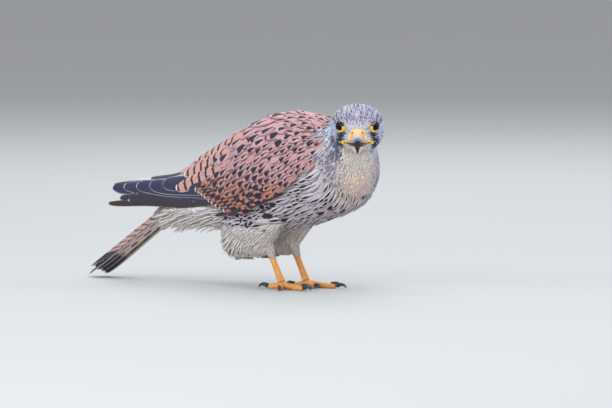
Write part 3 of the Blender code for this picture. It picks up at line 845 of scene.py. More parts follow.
def makeHeadCoat():
    print("coat: head")
    rng = np.random.default_rng(11)
    rows = np.arange(headEnd - 0.05, 0.08, -0.16)
    p, q = rootsOver(headSurface, rows, lambda s: 0.0, lambda s: tau * 0.9999,
                     lambda s: headCoat["spacing"] * (1.0 if s > 4 else 1.35), rng)
    here, alongP, _, normal = surfaceFrame(headSurface, p, q, 0.01, 0.01, 1.0)
    keep = rng.random(len(p)) < np.linalg.norm(alongP, axis=-1) * 0.16 / headCoat["rowStep"]
    f, l, u = toHead(here)
    side = np.abs(l)
    _, r, theta, a = aboutEye(f, l, u)
    keep &= (theta > lidEdge(a)[0] + 0.03) | (r > eyeRadius + 2.4)
    cereEdge = np.hypot((side / 6.6), (u - 0.3) / 5.4)
    keep &= (f < 20.0) | (cereEdge > 1.0)
    keep &= ~((f > 17) & (np.abs(u + 5.6) < 1.9) & (side < 12.8))
    neckDepth = (toBody(here) < 0.80) & (f < 4)
    keep &= ~neckDepth
    p, q, here, f, l, u, side = (v[keep] for v in (p, q, here, f, l, u, side))
    small = ease(f, 2, 15)
    length = headCoat["crown"][0] + (headCoat["face"][0] - headCoat["crown"][0]) * small
    length *= (0.85 + 0.3 * rng.random(len(p))) * (1 + 0.9 * ease(-u, 9, 14))
    width = headCoat["crown"][1] + (headCoat["face"][1] - headCoat["crown"][1]) * small
    lean = rng.normal(0, 0.10, len(p))
    # Under the eye and on the cheek the tufts run down and back
    down = ease(2 - u, 0, 8) * 0.75 * np.where(q < math.pi, 1, -1)
    colour, streak, dark = headColour(here)
    streaked = rng.random(len(p)) < streak
    colour[streaked] = np.array(shades["streakGrey"])
    width = np.where(streaked, width * 0.36, width)
    length = np.where(streaked, length * 1.5, length)
    lean = np.where(streaked, lean * 0.5, lean)
    tipP, tipQ = tipsFrom(headSurface, p, q, length, lean + down, -1)
    ends = toHead(headSurface(np.maximum(tipP, 0.02), tipQ))
    _, r, theta, a = aboutEye(*ends)
    onLid = (theta < lidEdge(a)[0] + 0.02) & (r < eyeRadius + 4)
    tipP, tipQ = np.where(onLid, p + (tipP - p) * 0.4, tipP), np.where(onLid, q + (tipQ - q) * 0.4, tipQ)
    gap = (dark > 0.25) & (rng.random(len(p)) < 0.05)
    colour[gap] = shades["paleGrey"]
    item = vanes("coat_head", headSurface, p, q, np.maximum(tipP, 0.02), tipQ, width, scattered(colour, rng),
                 np.zeros(len(p)), materials["face"], seed=12, rows=5, liftRoot=-1.0, liftTip=0.12,
                 liftEach=np.where(streaked, 0.12, 0.0), thick=0.05, camber=0.08, blunt=2.5,
                 root=0.45)
    finishPiece(item, "head_feathers")


# How far out of the trunk's outline a point lies, as a share: below 1 is inside
def toBody(points):
    table = bodyTable
    middle = (table[:, 0:3] + table[:, 3:6]) / 2
    near = np.argmin(np.sum((points[:, None, ::2] - middle[None, :, ::2]) ** 2, -1)
                     + 0.35 * (points[:, None, 1] - middle[None, :, 1]) ** 2, axis=1)
    row = table[near]
    half = (row[:, 0:3] - row[:, 3:6]) / 2
    tall = np.maximum(np.linalg.norm(half, axis=1), 1)
    d = points - middle[near]
    up = np.sum(d * half, axis=1) / tall**2
    across = d[:, 1] / np.maximum(row[:, 6], 1)
    return np.hypot(up, across)


# The wing outline's own coordinates: share of the radius and angle
def toHull(points):
    x, y, z = points.T
    w = np.interp(x, hullTable[:, 0], hullTable[:, 1])
    mid = np.interp(x, hullTable[:, 0], hullTable[:, 2])
    h = np.interp(x, hullTable[:, 0], hullTable[:, 3])
    t = np.degrees(np.arctan2(np.abs(y) / w, (z - mid) / h))
    return np.hypot(y / w, (z - mid) / h), t


def wingEnd(x):
    return np.interp(x, hullTable[:, 0], hullTable[:, 4])


# The wing's front edge lies furthest ahead in the middle of its height
def wingFront(t):
    across = (t - 30) / 78
    return 63 - 34 * np.abs(np.clip(2 * across - 1.05, -1.2, 1.2)) ** 2.2


breast = {"rowStep": 6.0, "spacing": 5.6, "length": 17.0, "width": 8.8}


def makeBodyCoat():
    print("coat: neck, breast, belly and flanks")
    rng = np.random.default_rng(21)
    step = 0.09
    rows = np.arange(bodyEnd - 0.3, 0.2, -step)
    p, q = rootsOver(bodySurface, rows, lambda s: 0.0, lambda s: tau * 0.9999,
                     lambda s: breast["spacing"] * (1 - 0.5 * float(ease(s, 7.4, 9.6))), rng, jitter=0.5)
    here, alongP, _, normal = surfaceFrame(bodySurface, p, q, 0.01, 0.01, 1.0)
    travel = np.linalg.norm(alongP, axis=-1) * step
    small = ease(p, 7.4, 9.6)
    rowStep = breast["rowStep"] * (1 - 0.6 * small)
    keep = rng.random(len(p)) < travel / rowStep
    reach, angle = toHull(here)
    covered = (reach < 0.93) & (angle < wingEnd(here[:, 0]) - 10) & (here[:, 0] < wingFront(angle) - 9)
    keep &= ~covered
    keep &= here[:, 0] > -112
    f, l, u = toHead(here)
    over = ease(np.cos(q), -0.1, 0.5)
    keep &= ~(np.sqrt(f**2 + l**2 + u**2) < 15) & (p < neckCoat["first"] + 0.5 + neckCoat["backStart"] * over)
    p, q, here, small = (v[keep] for v in (p, q, here, small))
    t = np.abs((q + math.pi) % tau - math.pi)
    length = breast["length"] * (1 - 0.55 * small) * (0.9 + 0.2 * rng.random(len(p)))
    width = breast["width"] * (1 - 0.55 * small)
    sideways = np.where(q < math.pi, 1, -1)
    # From the throat the vanes spread outward and back
    spread = 0.35 * ease(p, 6.5, 8.5) * np.sin(t) * sideways
    tipP, tipQ = tipsFrom(bodySurface, p, q, length, spread + rng.normal(0, 0.07, len(p)), -1)
    colour, mark = bodyColour(here + rng.normal(0, 1.8, here.shape), t)
    bold = rng.random(len(p))
    mark = mark * np.where(bold > 0.05, 1.0, 0.1) * (1 - 0.5 * ease(t, 2.7, 3.1) * ease(40 - here[:, 0], 0, 30))
    item = vanes("coat_body", bodySurface, p, q, np.maximum(tipP, 0.05), tipQ, width, scattered(colour, rng, 0.06), mark,
                 materials["breast"], seed=22, liftRoot=-1.9, liftTip=0.15, camber=0.14, blunt=2.2, cells=True,
                 rows=8, columns=5, notch=0.12, thick=0.04)
    finishPiece(item, "body_feathers")


neckCoat = {"first": 8.1, "rowStep": 1.4, "spacing": 1.3, "length": 6.5, "width": 3.2, "backStart": 2.0,
            "reach": 25.0}


# Small tufts round the neck, fine and pale like the head's, over the upper ends of mantle and breast
def makeNeckCoat():
    print("coat: neck")
    rng = np.random.default_rng(27)
    step = 0.04
    p, q = rootsOver(bodySurface, np.arange(bodyEnd - 0.2, neckCoat["first"], -step), lambda s: 0.0,
                     lambda s: tau * 0.9999, lambda s: neckCoat["spacing"], rng, jitter=0.5)
    here, alongP, _, _ = surfaceFrame(bodySurface, p, q, 0.01, 0.01, 1.0)
    keep = rng.random(len(p)) < np.linalg.norm(alongP, axis=-1) * step / neckCoat["rowStep"]
    f, l, u = toHead(here)
    keep &= np.sqrt(f**2 + l**2 + u**2) > 14
    keep &= p > neckCoat["first"] + neckCoat["backStart"] * ease(np.cos(q), -0.1, 0.5)
    keep &= (np.abs(l) < neckCoat["reach"]) | (u < -14)
    p, q, here = p[keep], q[keep], here[keep]
    t = np.abs((q + math.pi) % tau - math.pi)
    length = neckCoat["length"] * (0.85 + 0.3 * rng.random(len(p))) * (1 - 0.3 * ease(np.cos(q), -0.1, 0.5))
    tipP, tipQ = tipsFrom(bodySurface, p, q, length, rng.normal(0, 0.10, len(p)), -1)
    colour, _ = bodyColour(here + rng.normal(0, 1.8, here.shape), t)
    low = ease(9.9 - p, 0, 1.5)
    plainThroat = ease(17 - np.abs(l[keep]), 0, 8) * ease(f[keep], -2, 6)
    streaked = rng.random(len(p)) < 0.13 * ease(2.4 - t, 0, 0.6) + 0.20 * low * (1 - plainThroat)
    colour[streaked] = blend(0.45 + 0.3 * low[streaked], colour[streaked], shades["streakGrey"])
    item = vanes("coat_neck", bodySurface, p, q, tipP, tipQ, np.where(streaked, 0.6, 1.0) * neckCoat["width"],
                 scattered(colour, rng, 0.05), np.zeros(len(p)), materials["face"], seed=28, rows=6, liftRoot=-0.5,
                 liftTip=0.05, liftEach=np.where(streaked, 0.1, 0.0), thick=0.03, camber=0.03, blunt=3.5, root=0.6)
    finishPiece(item, "body_feathers")


legs = {
    "apart": 15.0, "top": (-12.5, 40.0), "foot": (5.2, 6.0), "radii": (3.1, 2.9, 2.5, 2.45, 2.6, 3.1),
    # name, yaw, length, root radius, claw length of the right foot
    "toes": (("middle", -10, 30, 2.8, 12), ("inner", 22, 18, 2.8, 11), ("outer", -52, 21, 2.5, 10.5), ("hind", 184, 14.5, 2.7, 12)),
    "gap": 0.35, "padSink": 1.15,
}
sock = {"top": 0.06, "bottom": 0.42, "radii": (6.5, 3.1), "spacing": 1.4, "length": 5.0, "width": 2.2,
        "streaksFrom": 53.0}


# Feathered upper shank: s runs down the shank, t goes round it from the front over the outer side
def sockSurface(s, t, side=-1):
    share = sock["top"] + (sock["bottom"] - sock["top"]) * s
    x = legs["top"][0] + (legs["foot"][0] - legs["top"][0]) * share
    z = legs["top"][1] + (legs["foot"][1] - legs["top"][1]) * share
    r = sock["radii"][0] + (sock["radii"][1] - sock["radii"][0]) * s
    return np.stack((x + r * np.cos(t), side * (legs["apart"] + r * np.sin(t)), z + 0 * t), -1)


# Long soft tufts under the tail and behind the legs
def makeSoftCoat():
    print("coat: soft tufts under the tail and on the thighs")
    rng = np.random.default_rng(31)
    p, q = rootsOver(bodySurface, np.arange(4.2, 0.25, -0.14), lambda s: math.radians(88), lambda s: math.radians(272),
                     lambda s: 1.4, rng, jitter=0.8)
    here = bodySurface(p, q)
    reach, angle = toHull(here)
    keep = (angle > wingEnd(here[:, 0]) + 3) | (reach < 0.7)
    p, q, here = p[keep], q[keep], here[keep]
    length = 15 + 9 * rng.random(len(p))
    tipP, tipQ = tipsFrom(bodySurface, p, q, length, rng.normal(0, 0.08, len(p)), -1)
    colour = blend(rng.random(len(p)) * 0.15, np.array(shades["down"]) * np.ones((len(p), 1)), shades["cream"])
    hanging = np.where(rng.random(len(p)) < 0.3, 6.5 * rng.random(len(p)), 0.0)
    item = vanes("coat_vent", bodySurface, p, q, np.maximum(tipP, 0.03), tipQ, np.full(len(p), 3.0), colour,
                 np.zeros(len(p)), materials["soft"], seed=32, flare=hanging, liftRoot=-0.7, liftTip=0.1, rows=8, blunt=1.3,
                 camber=0.02, ripple=0.06, thick=0.02)
    finishPiece(item, "body_feathers")
    for side, word in ((-1, "right"), (1, "left")):
        # The same numbers for both legs, so that they match
        rng = np.random.default_rng(33)
        surface = lambda s, t, side=side: thighSurface(s, t, 0.0, side)
        p, q = rootsOver(surface, np.arange(0.2, 5.9, 0.14), lambda s: 0.0, lambda s: tau * 0.9999,
                         lambda s: 1.5, rng, jitter=0.8)
        here, alongP, _, _ = surfaceFrame(surface, p, q, 0.01, 0.01, 1.0)
        keep = rng.random(len(p)) < np.linalg.norm(alongP, axis=-1) * 0.14 / 1.8
        keep &= ~((here[:, 2] > sock["streaksFrom"] + 4) & (np.sin(q) > -0.3))
        p, q, here = p[keep], q[keep], here[keep]
        length = 13 + 7 * rng.random(len(p))
        rearward = 0.55 * np.sin(q) + 0.5 * (np.cos(q) < -0.3)
        tipP, tipQ = tipsFrom(surface, p, q, length, rearward + rng.normal(0, 0.15, len(p)), 1)
        colour = blend(0.35 * ease(50 - here[:, 2], 0, 25), np.array(shades["down"]) * np.ones((len(p), 1)), shades["buff"])
        loose = (rng.random(len(p)) < 0.45) * ease(50 - here[:, 2], 0, 10) * ease(-np.cos(q), -0.5, 0.3)
        item = vanes("coat_thigh_" + word, surface, p, q, np.minimum(tipP, thighEnd), tipQ, np.full(len(p), 3.0),
                     scattered(colour, rng, 0.04), np.zeros(len(p)), materials["soft"], outward=side, seed=34,
                     flare=loose * 4.5 * rng.random(len(p)),
                     liftRoot=-0.8, liftTip=0.12, rows=8, camber=0.02, blunt=1.3, ripple=0.06, thick=0.02)
        finishPiece(item, "body_feathers")
        wrap = lambda s, t, side=side: sockSurface(s, t, side)
        p, q = rootsOver(wrap, np.arange(0.0, 0.75, 0.09), lambda s: 0.0, lambda s: tau * 0.9999,
                         lambda s: sock["spacing"], rng, jitter=0.6)
        tipP, tipQ = tipsFrom(wrap, p, q, sock["length"] * (0.8 + 0.4 * rng.random(len(p))), rng.normal(0, 0.1, len(p)), 1)
        colour = blend(p * 0.6, np.array(shades["down"]) * np.ones((len(p), 1)), shades["buff"])
        item = vanes("coat_shank_" + word, wrap, p, q, np.minimum(tipP, 1.1), tipQ, np.full(len(p), sock["width"]),
                     scattered(colour, rng, 0.04), np.zeros(len(p)), materials["soft"], outward=side, seed=36,
                     liftRoot=-1.0, liftTip=0.2, camber=0.06, blunt=1.9, thick=0.05)
        finishPiece(item, "body_feathers")
        # Flank feathers lie back over the top of the thigh, each with a dark drop along its shaft
        p, q = rootsOver(surface, np.arange(0.05, 3.1, 0.30), lambda s: math.radians(-35), lambda s: math.radians(195),
                         lambda s: 5.4, rng, jitter=0.5)
        high = surface(p, q)[:, 2] > sock["streaksFrom"] + rng.normal(0, 2.5, len(p))
        p, q = p[high], q[high]
        tipP, tipQ = tipsFrom(surface, p, q, np.full(len(p), 16.0), 1.30 + rng.normal(0, 0.08, len(p)), 1)
        colour = scattered(np.array(shades["breast"]) * np.ones((len(p), 1)), rng, 0.05)
        item = vanes("coat_flank_" + word, surface, p, q, np.clip(tipP, 0.02, thighEnd), tipQ, np.full(len(p), 9.0),
                     colour, np.where(rng.random(len(p)) > 0.1, 1.0, 0.0), materials["flank"], outward=side, seed=35,
                     cells=True, rows=9, columns=5, liftRoot=-1.5, liftTip=0.35, camber=0.12, blunt=2.2, notch=0.12,
                     thick=0.04)
        finishPiece(item, "body_feathers")


# Wing and back, made for the right side and mirrored by the sign of the angle

primaries = {
    # tip x, tip angle, root x, root angle, width, lift at the tip, blue or brown
    "blades": (
        (-172, 21, -60, 30, 9.5, -2.1, 2.0),
        (-150, 22, -60, 22, 9.5, -1.8, 0.7),
        (-197, 110, -48, 102, 7.0, -1.7, 0.0),
        (-171, 99, -48, 101, 7.5, -1.6, 0.4),
        (-182, 90, -48, 101, 8.0, -1.5, 0.6),
        (-160, 76, -48, 104, 9.5, -1.38, 0.6),
        (-54, 117, 20, 112, 4.5, -1.0, 0.1),
        (-38, 119, 26, 112, 4.5, -0.8, 0.1),
        (-170, 66, -48, 103.5, 10.5, -1.3, 0.8),
        (-193, 42, -48, 98, 18, -1.2, 0.9),
        (-178, 50, -48, 100, 14.5, -0.8, 1.0),
        (-161, 54, -48, 97, 15, -0.4, 0.9),
        (-143, 56, -48, 94, 15, 0.0, 1.0),
        (-125, 55, -48, 92, 15, 0.4, 0.9),
    ),
}
tertials = {
    # tip x, tip angle, root x, root angle, width, lift at the tip; each lower one's tip lies further forward
    "secondaries": tuple((-42 - 4.4 * k, 113.5 - 3.5 * k, 12 - 5 * k, 106 - 4.2 * k, 10.5, -0.9 + 0.13 * k) for k in range(9)),
    "vanes": (
        (-105, 73, -38, 66, 16, 0.6),
        (-98, 52, -36, 52, 16, 0.9),
        (-88, 32, -30, 36, 16, 1.1),
    ),
}


def bladesOf(name, table, colour, mark, material, side, **changes):
    tipX, tipT, rootX, rootT, width, lift = np.array(table, float).T[:6]
    count = len(tipX)
    item = vanes(name, hullSurface, rootX, -side * np.radians(rootT), tipX, -side * np.radians(tipT), width,
                 np.array(colour) * np.ones((count, 1)), np.full(count, mark), material, outward=-1.0, steps=(0.5, 0.01),
                 cells=True, rows=26, columns=9, liftTip=0.0, liftRoot=-1.0, liftEach=lift, **changes)
    return item


def makeFlight():
    print("coat: primaries, tertials and secondaries")
    for side, word in ((-1, "right"), (1, "left")):
        blue = np.array(primaries["blades"])[:, 6]
        tone = blend(np.minimum(blue, 1), shades["darkBrown"], shades["slate"])
        tone[blue > 1] = shades["paleGrey"]
        blades = bladesOf("primaries_" + word, primaries["blades"], tone, 0.0,
                          materials["flight"], side, seed=41, blunt=12.0, camber=0.3, thick=0.22, root=0.8)
        finishPiece(blades, "wing_feathers")
        vanesHere = bladesOf("tertials_" + word, tertials["vanes"], srgb(202, 150, 138), 1.0, materials["tertial"], side,
                             seed=42, blunt=7.0, camber=0.35, thick=0.2, root=0.6)
        finishPiece(vanesHere, "wing_feathers")
        checked = bladesOf("secondaries_" + word, tertials["secondaries"], srgb(174, 110, 92), 1.0, materials["secondary"], side,
                           seed=43, blunt=7.0, camber=0.35, thick=0.2, root=0.6)
        finishPiece(checked, "wing_feathers")


# Coverts: roots in rows over the wing, longer and wider further back
def makeCoverts():
    print("coat: wing coverts, mantle and scapulars")
    for side, word in ((-1, "right"), (1, "left")):
        rng = np.random.default_rng(51)
        mirrored = lambda x, t, side=side: hullSurface(x, -side * t)
        back = np.cumsum(np.concatenate(([0], np.linspace(4.8, 8.5, 17))))
        rows = 66 - back
        size = lambda x: np.interp(-x, (-60, -20, 30, 60), (5.2, 6.6, 8.2, 8.8))
        p, q = rootsOver(mirrored, rows, lambda x: math.radians(36), lambda x: math.radians(wingEnd(x) - 3), size, rng)
        degrees = np.degrees(q)
        keep = (p < wingFront(degrees) + 1) & (p > -62 + 0.9 * np.clip(degrees - 60, 0, 60))
        p, q, degrees = p[keep], q[keep], degrees[keep]
        checks = (degrees > 92 - 0.25 * p) & (p < 18)
        sparse = ~checks | (rng.random(len(p)) < 0.85)
        p, q, degrees, checks = p[sparse], q[sparse], degrees[sparse], checks[sparse]
        length = size(p) * np.where(checks, 2.3, 2.0)
        width = size(p) * np.where(checks, 1.4, 1.25)
        turn = np.radians(np.interp(degrees, (36, 70, 100, 116), (30, 38, 22, 6))) * np.interp(-p, (-50, 0, 60), (1.25, 1.0, 0.6))
        tipP, tipQ = tipsFrom(mirrored, p, q, length, turn + rng.normal(0, 0.05, len(p)), -1, steps=(0.5, 0.01))
        tipQ = np.minimum(tipQ, np.radians(wingEnd(tipP) - 0.5))
        colour = scattered(hullColour(p, q)[0], rng, 0.10)
        plain = rng.random(len(p)) < np.where(degrees < 62, 0.35, 0.08)
        mark = np.where(checks | ~plain, 1.0, 0.12)
        for group, label, finish in ((~checks, "coverts_", "covert"), (checks, "checked_coverts_", "barred")):
            item = vanes(label + word, mirrored, p[group], q[group], tipP[group], tipQ[group], width[group],
                         colour[group], mark[group], materials[finish], outward=side, steps=(0.5, 0.01), seed=52,
                         cells=True, rows=9, columns=5, liftRoot=-1.7, liftTip=0.4, camber=0.25, blunt=2.8, thick=0.07)
            finishPiece(item, "wing_feathers")
    rng = np.random.default_rng(61)
    rows = 60 - np.concatenate((np.arange(0, 30, 7.0), np.arange(33, 150, 11.0)))
    p, q = rootsOver(hullSurface, rows, lambda x: -math.radians(50), lambda x: math.radians(50),
                     lambda x: np.interp(-x, (-50, -20, 90), (7.0, 11.5, 12)), rng)
    width = np.interp(-p, (-50, -20, 90), (9.5, 16.0, 17))
    length = width * 1.6
    turn = np.radians(np.clip(np.degrees(q) * 0.8, -32, 32)) * np.interp(-p, (40, 90), (1, 0.2))
    tipP, tipQ = tipsFrom(hullSurface, p, q, length, turn + rng.normal(0, 0.06, len(p)), -1, steps=(0.5, 0.01))
    here = hullSurface(p, q)
    colour = scattered(hullColour(p, q)[0], rng, 0.08)
    mark = np.where(rng.random(len(p)) > 0.15, 1.0, 0.05)
    item = vanes("mantle", hullSurface, p, q, tipP, tipQ, width, colour, mark, materials["mantle"], outward=-1.0,
                 steps=(0.5, 0.01), seed=62, cells=True, rows=10, columns=5, liftRoot=-1.8, liftTip=0.7, camber=0.3,
                 blunt=2.8, thick=0.08)
    finishPiece(item, "wing_feathers")


tailFeathers = {"width": 12.0, "length": 0.62}


# Twelve tail feathers, the middle pair on top, over a thin core
def makeTail():
    print("tail")
    order = np.arange(6)
    across = np.concatenate((0.10 + order * 0.155, -0.10 - order * 0.155))
    sort = np.argsort(-np.abs(across))
    across = across[sort]
    tip = 1.0 - 0.018 * (np.abs(across) / 0.17) ** 1.3
    lift = 0.5 - 2.0 * np.abs(across)
    count = len(across)
    tailWide = lambda r, v: tailSurface(r, v)
    item = vanes("tail_vanes", tailWide, np.full(count, 0.12), across * 0.6, tip, across * 0.86,
                 np.full(count, tailFeathers["width"]), np.array(srgb(222, 180, 170)) * np.ones((count, 1)),
                 np.full(count, 0.95), materials["tail"], outward=-1.0, steps=(0.005, 0.02), seed=71, cells=True,
                 rows=40, columns=9, liftTip=0.0, liftRoot=0.0, liftEach=lift, blunt=14.0, camber=0.12, thick=0.2,
                 root=0.75)
    finishPiece(item, "tail_feathers")
    # From below the outer feathers show, each with its pale edge
    underV = np.array((-0.55, 0.55, -0.25, 0.25, 0.0, -0.78, 0.78))
    lowered = lambda r, v: tailSurface(r, -v) - (0, 0, 3.9)
    # The outermost under vane on the bird's left is brown instead of pinkish white: painted shade on the tail's
    # underside
    under = vanes("tail_under_vanes", lowered, np.full(7, 0.05), underV * 0.8, 0.975 - 0.03 * np.abs(underV), underV,
                  np.full(7, 7.6), blend(ease(-underV, 0.6, 0.7), srgb(232, 200, 194), srgb(126, 102, 74)), np.full(7, 0.95),
                  materials["tailUnder"], outward=-1.0, steps=(0.005, 0.02), seed=72, cells=True, rows=40, columns=7,
                  liftTip=0.0, liftRoot=0.0, liftEach=np.array((0.3, 0.3, 0.45, 0.45, 0.6, 0.15, 0.15)), blunt=14.0,
                  camber=0.1, thick=0.15, root=0.75)
    finishPiece(under, "tail_feathers")
    r = np.linspace(0.0, 0.955, 40)[:, None]
    v = np.linspace(-0.9, 0.9, 17)[None, :]
    top = tailSurface(r * (1 - 0.019 * (np.abs(v) / 0.146) ** 1.3), v) - (0, 0, 2.2)
    low = top - (0, 0, 1.2)
    rings = np.concatenate((top, low[:, ::-1]), axis=1)
    points, faces = shell(rings)
    core = meshObject("tail_core", points, faces)
    turnOutward(core)
    g = Graph("tail_under", roughness=0.6)
    along = g.here()
    split = g.add("ShaderNodeSeparateXYZ", {}, {0: along})
    bars = (split * 520.0 + g.noise(120.0) * 1.2).wave().step(0.2, 0.5) * 0.5
    under = g.mix(bars, srgb(168, 142, 128), srgb(96, 76, 70))
    g.feed("Base Color", g.mix((0.0 - split).step(0.134, 0.138), under, shades["ink"]))
    g.bump(g.noise(700.0), 0.3, 0.0002)
    core.data.materials.append(g.material)
    finishPiece(core, "tail_feathers", "tail")


# Upper tail coverts, over the tail's root between the wings
def makeRump():
    rng = np.random.default_rng(81)
    p, q = rootsOver(bodySurface, np.arange(5.0, 0.3, -0.22), lambda s: -1.75, lambda s: 1.75, lambda s: 6.0, rng)
    length = np.full(len(p), 16.0)
    tipP, tipQ = tipsFrom(bodySurface, p, q, length, rng.normal(0, 0.05, len(p)), -1)
    colour = scattered(np.array(srgb(176, 160, 160)) * np.ones((len(p), 1)), rng)
    item = vanes("rump", bodySurface, p, q, np.maximum(tipP, 0.04), tipQ, np.full(len(p), 9.0), colour,
                 np.full(len(p), 0.5), materials["breast"], seed=82, cells=True, rows=8, columns=5, liftRoot=-2.6,
                 liftTip=0.5)
    finishPiece(item, "body_feathers")


# Bare parts

upperBill = (
    # forward, up, half width, half height; the cere ends at row 2
    (21.5, 1.6, 7.6, 5.2),
    (24.8, 0.8, 6.6, 4.8),
    (28.4, -1.2, 4.6, 4.2),
    (31.6, -3.6, 3.2, 3.2),
    (34.0, -5.9, 2.3, 2.4),
    (35.2, -8.1, 1.3, 1.6),
    (35.2, -10.1, 0.5, 0.7),
)
lowerBill = (
    (18.8, -8.3, 8.4, 1.7),
    (23.6, -8.4, 6.4, 1.8),
    (27.6, -9.2, 3.8, 1.9),
    (30.4, -10.7, 2.5, 1.6),
    (31.8, -11.9, 1.2, 0.8),
)


# Bill: ovals square to a curved middle line in the head's frame, each narrower above than below by its keel
def billRings(rows, share, sides=64, swell=0.0, keel=0.0):
    table = smoothRows(rows)
    s = share * (len(rows) - 1)
    f, u, w, h = readRows(table, s)
    heading = np.gradient(np.stack((f, u), -1), axis=0)
    heading /= np.linalg.norm(heading, axis=1)[:, None]
    t = np.arange(sides) / sides * tau
    high = (h + swell)[:, None] * np.cos(t)[None, :]
    narrow = 1 - np.broadcast_to(keel, share.shape)[:, None] * (0.5 + 0.5 * np.cos(t)[None, :])
    wide = (w + swell)[:, None] * np.sin(t)[None, :] * narrow
    return f[:, None] - heading[:, 1:2] * high, wide, u[:, None] + heading[:, 0:1] * high


cereShare = 0.27


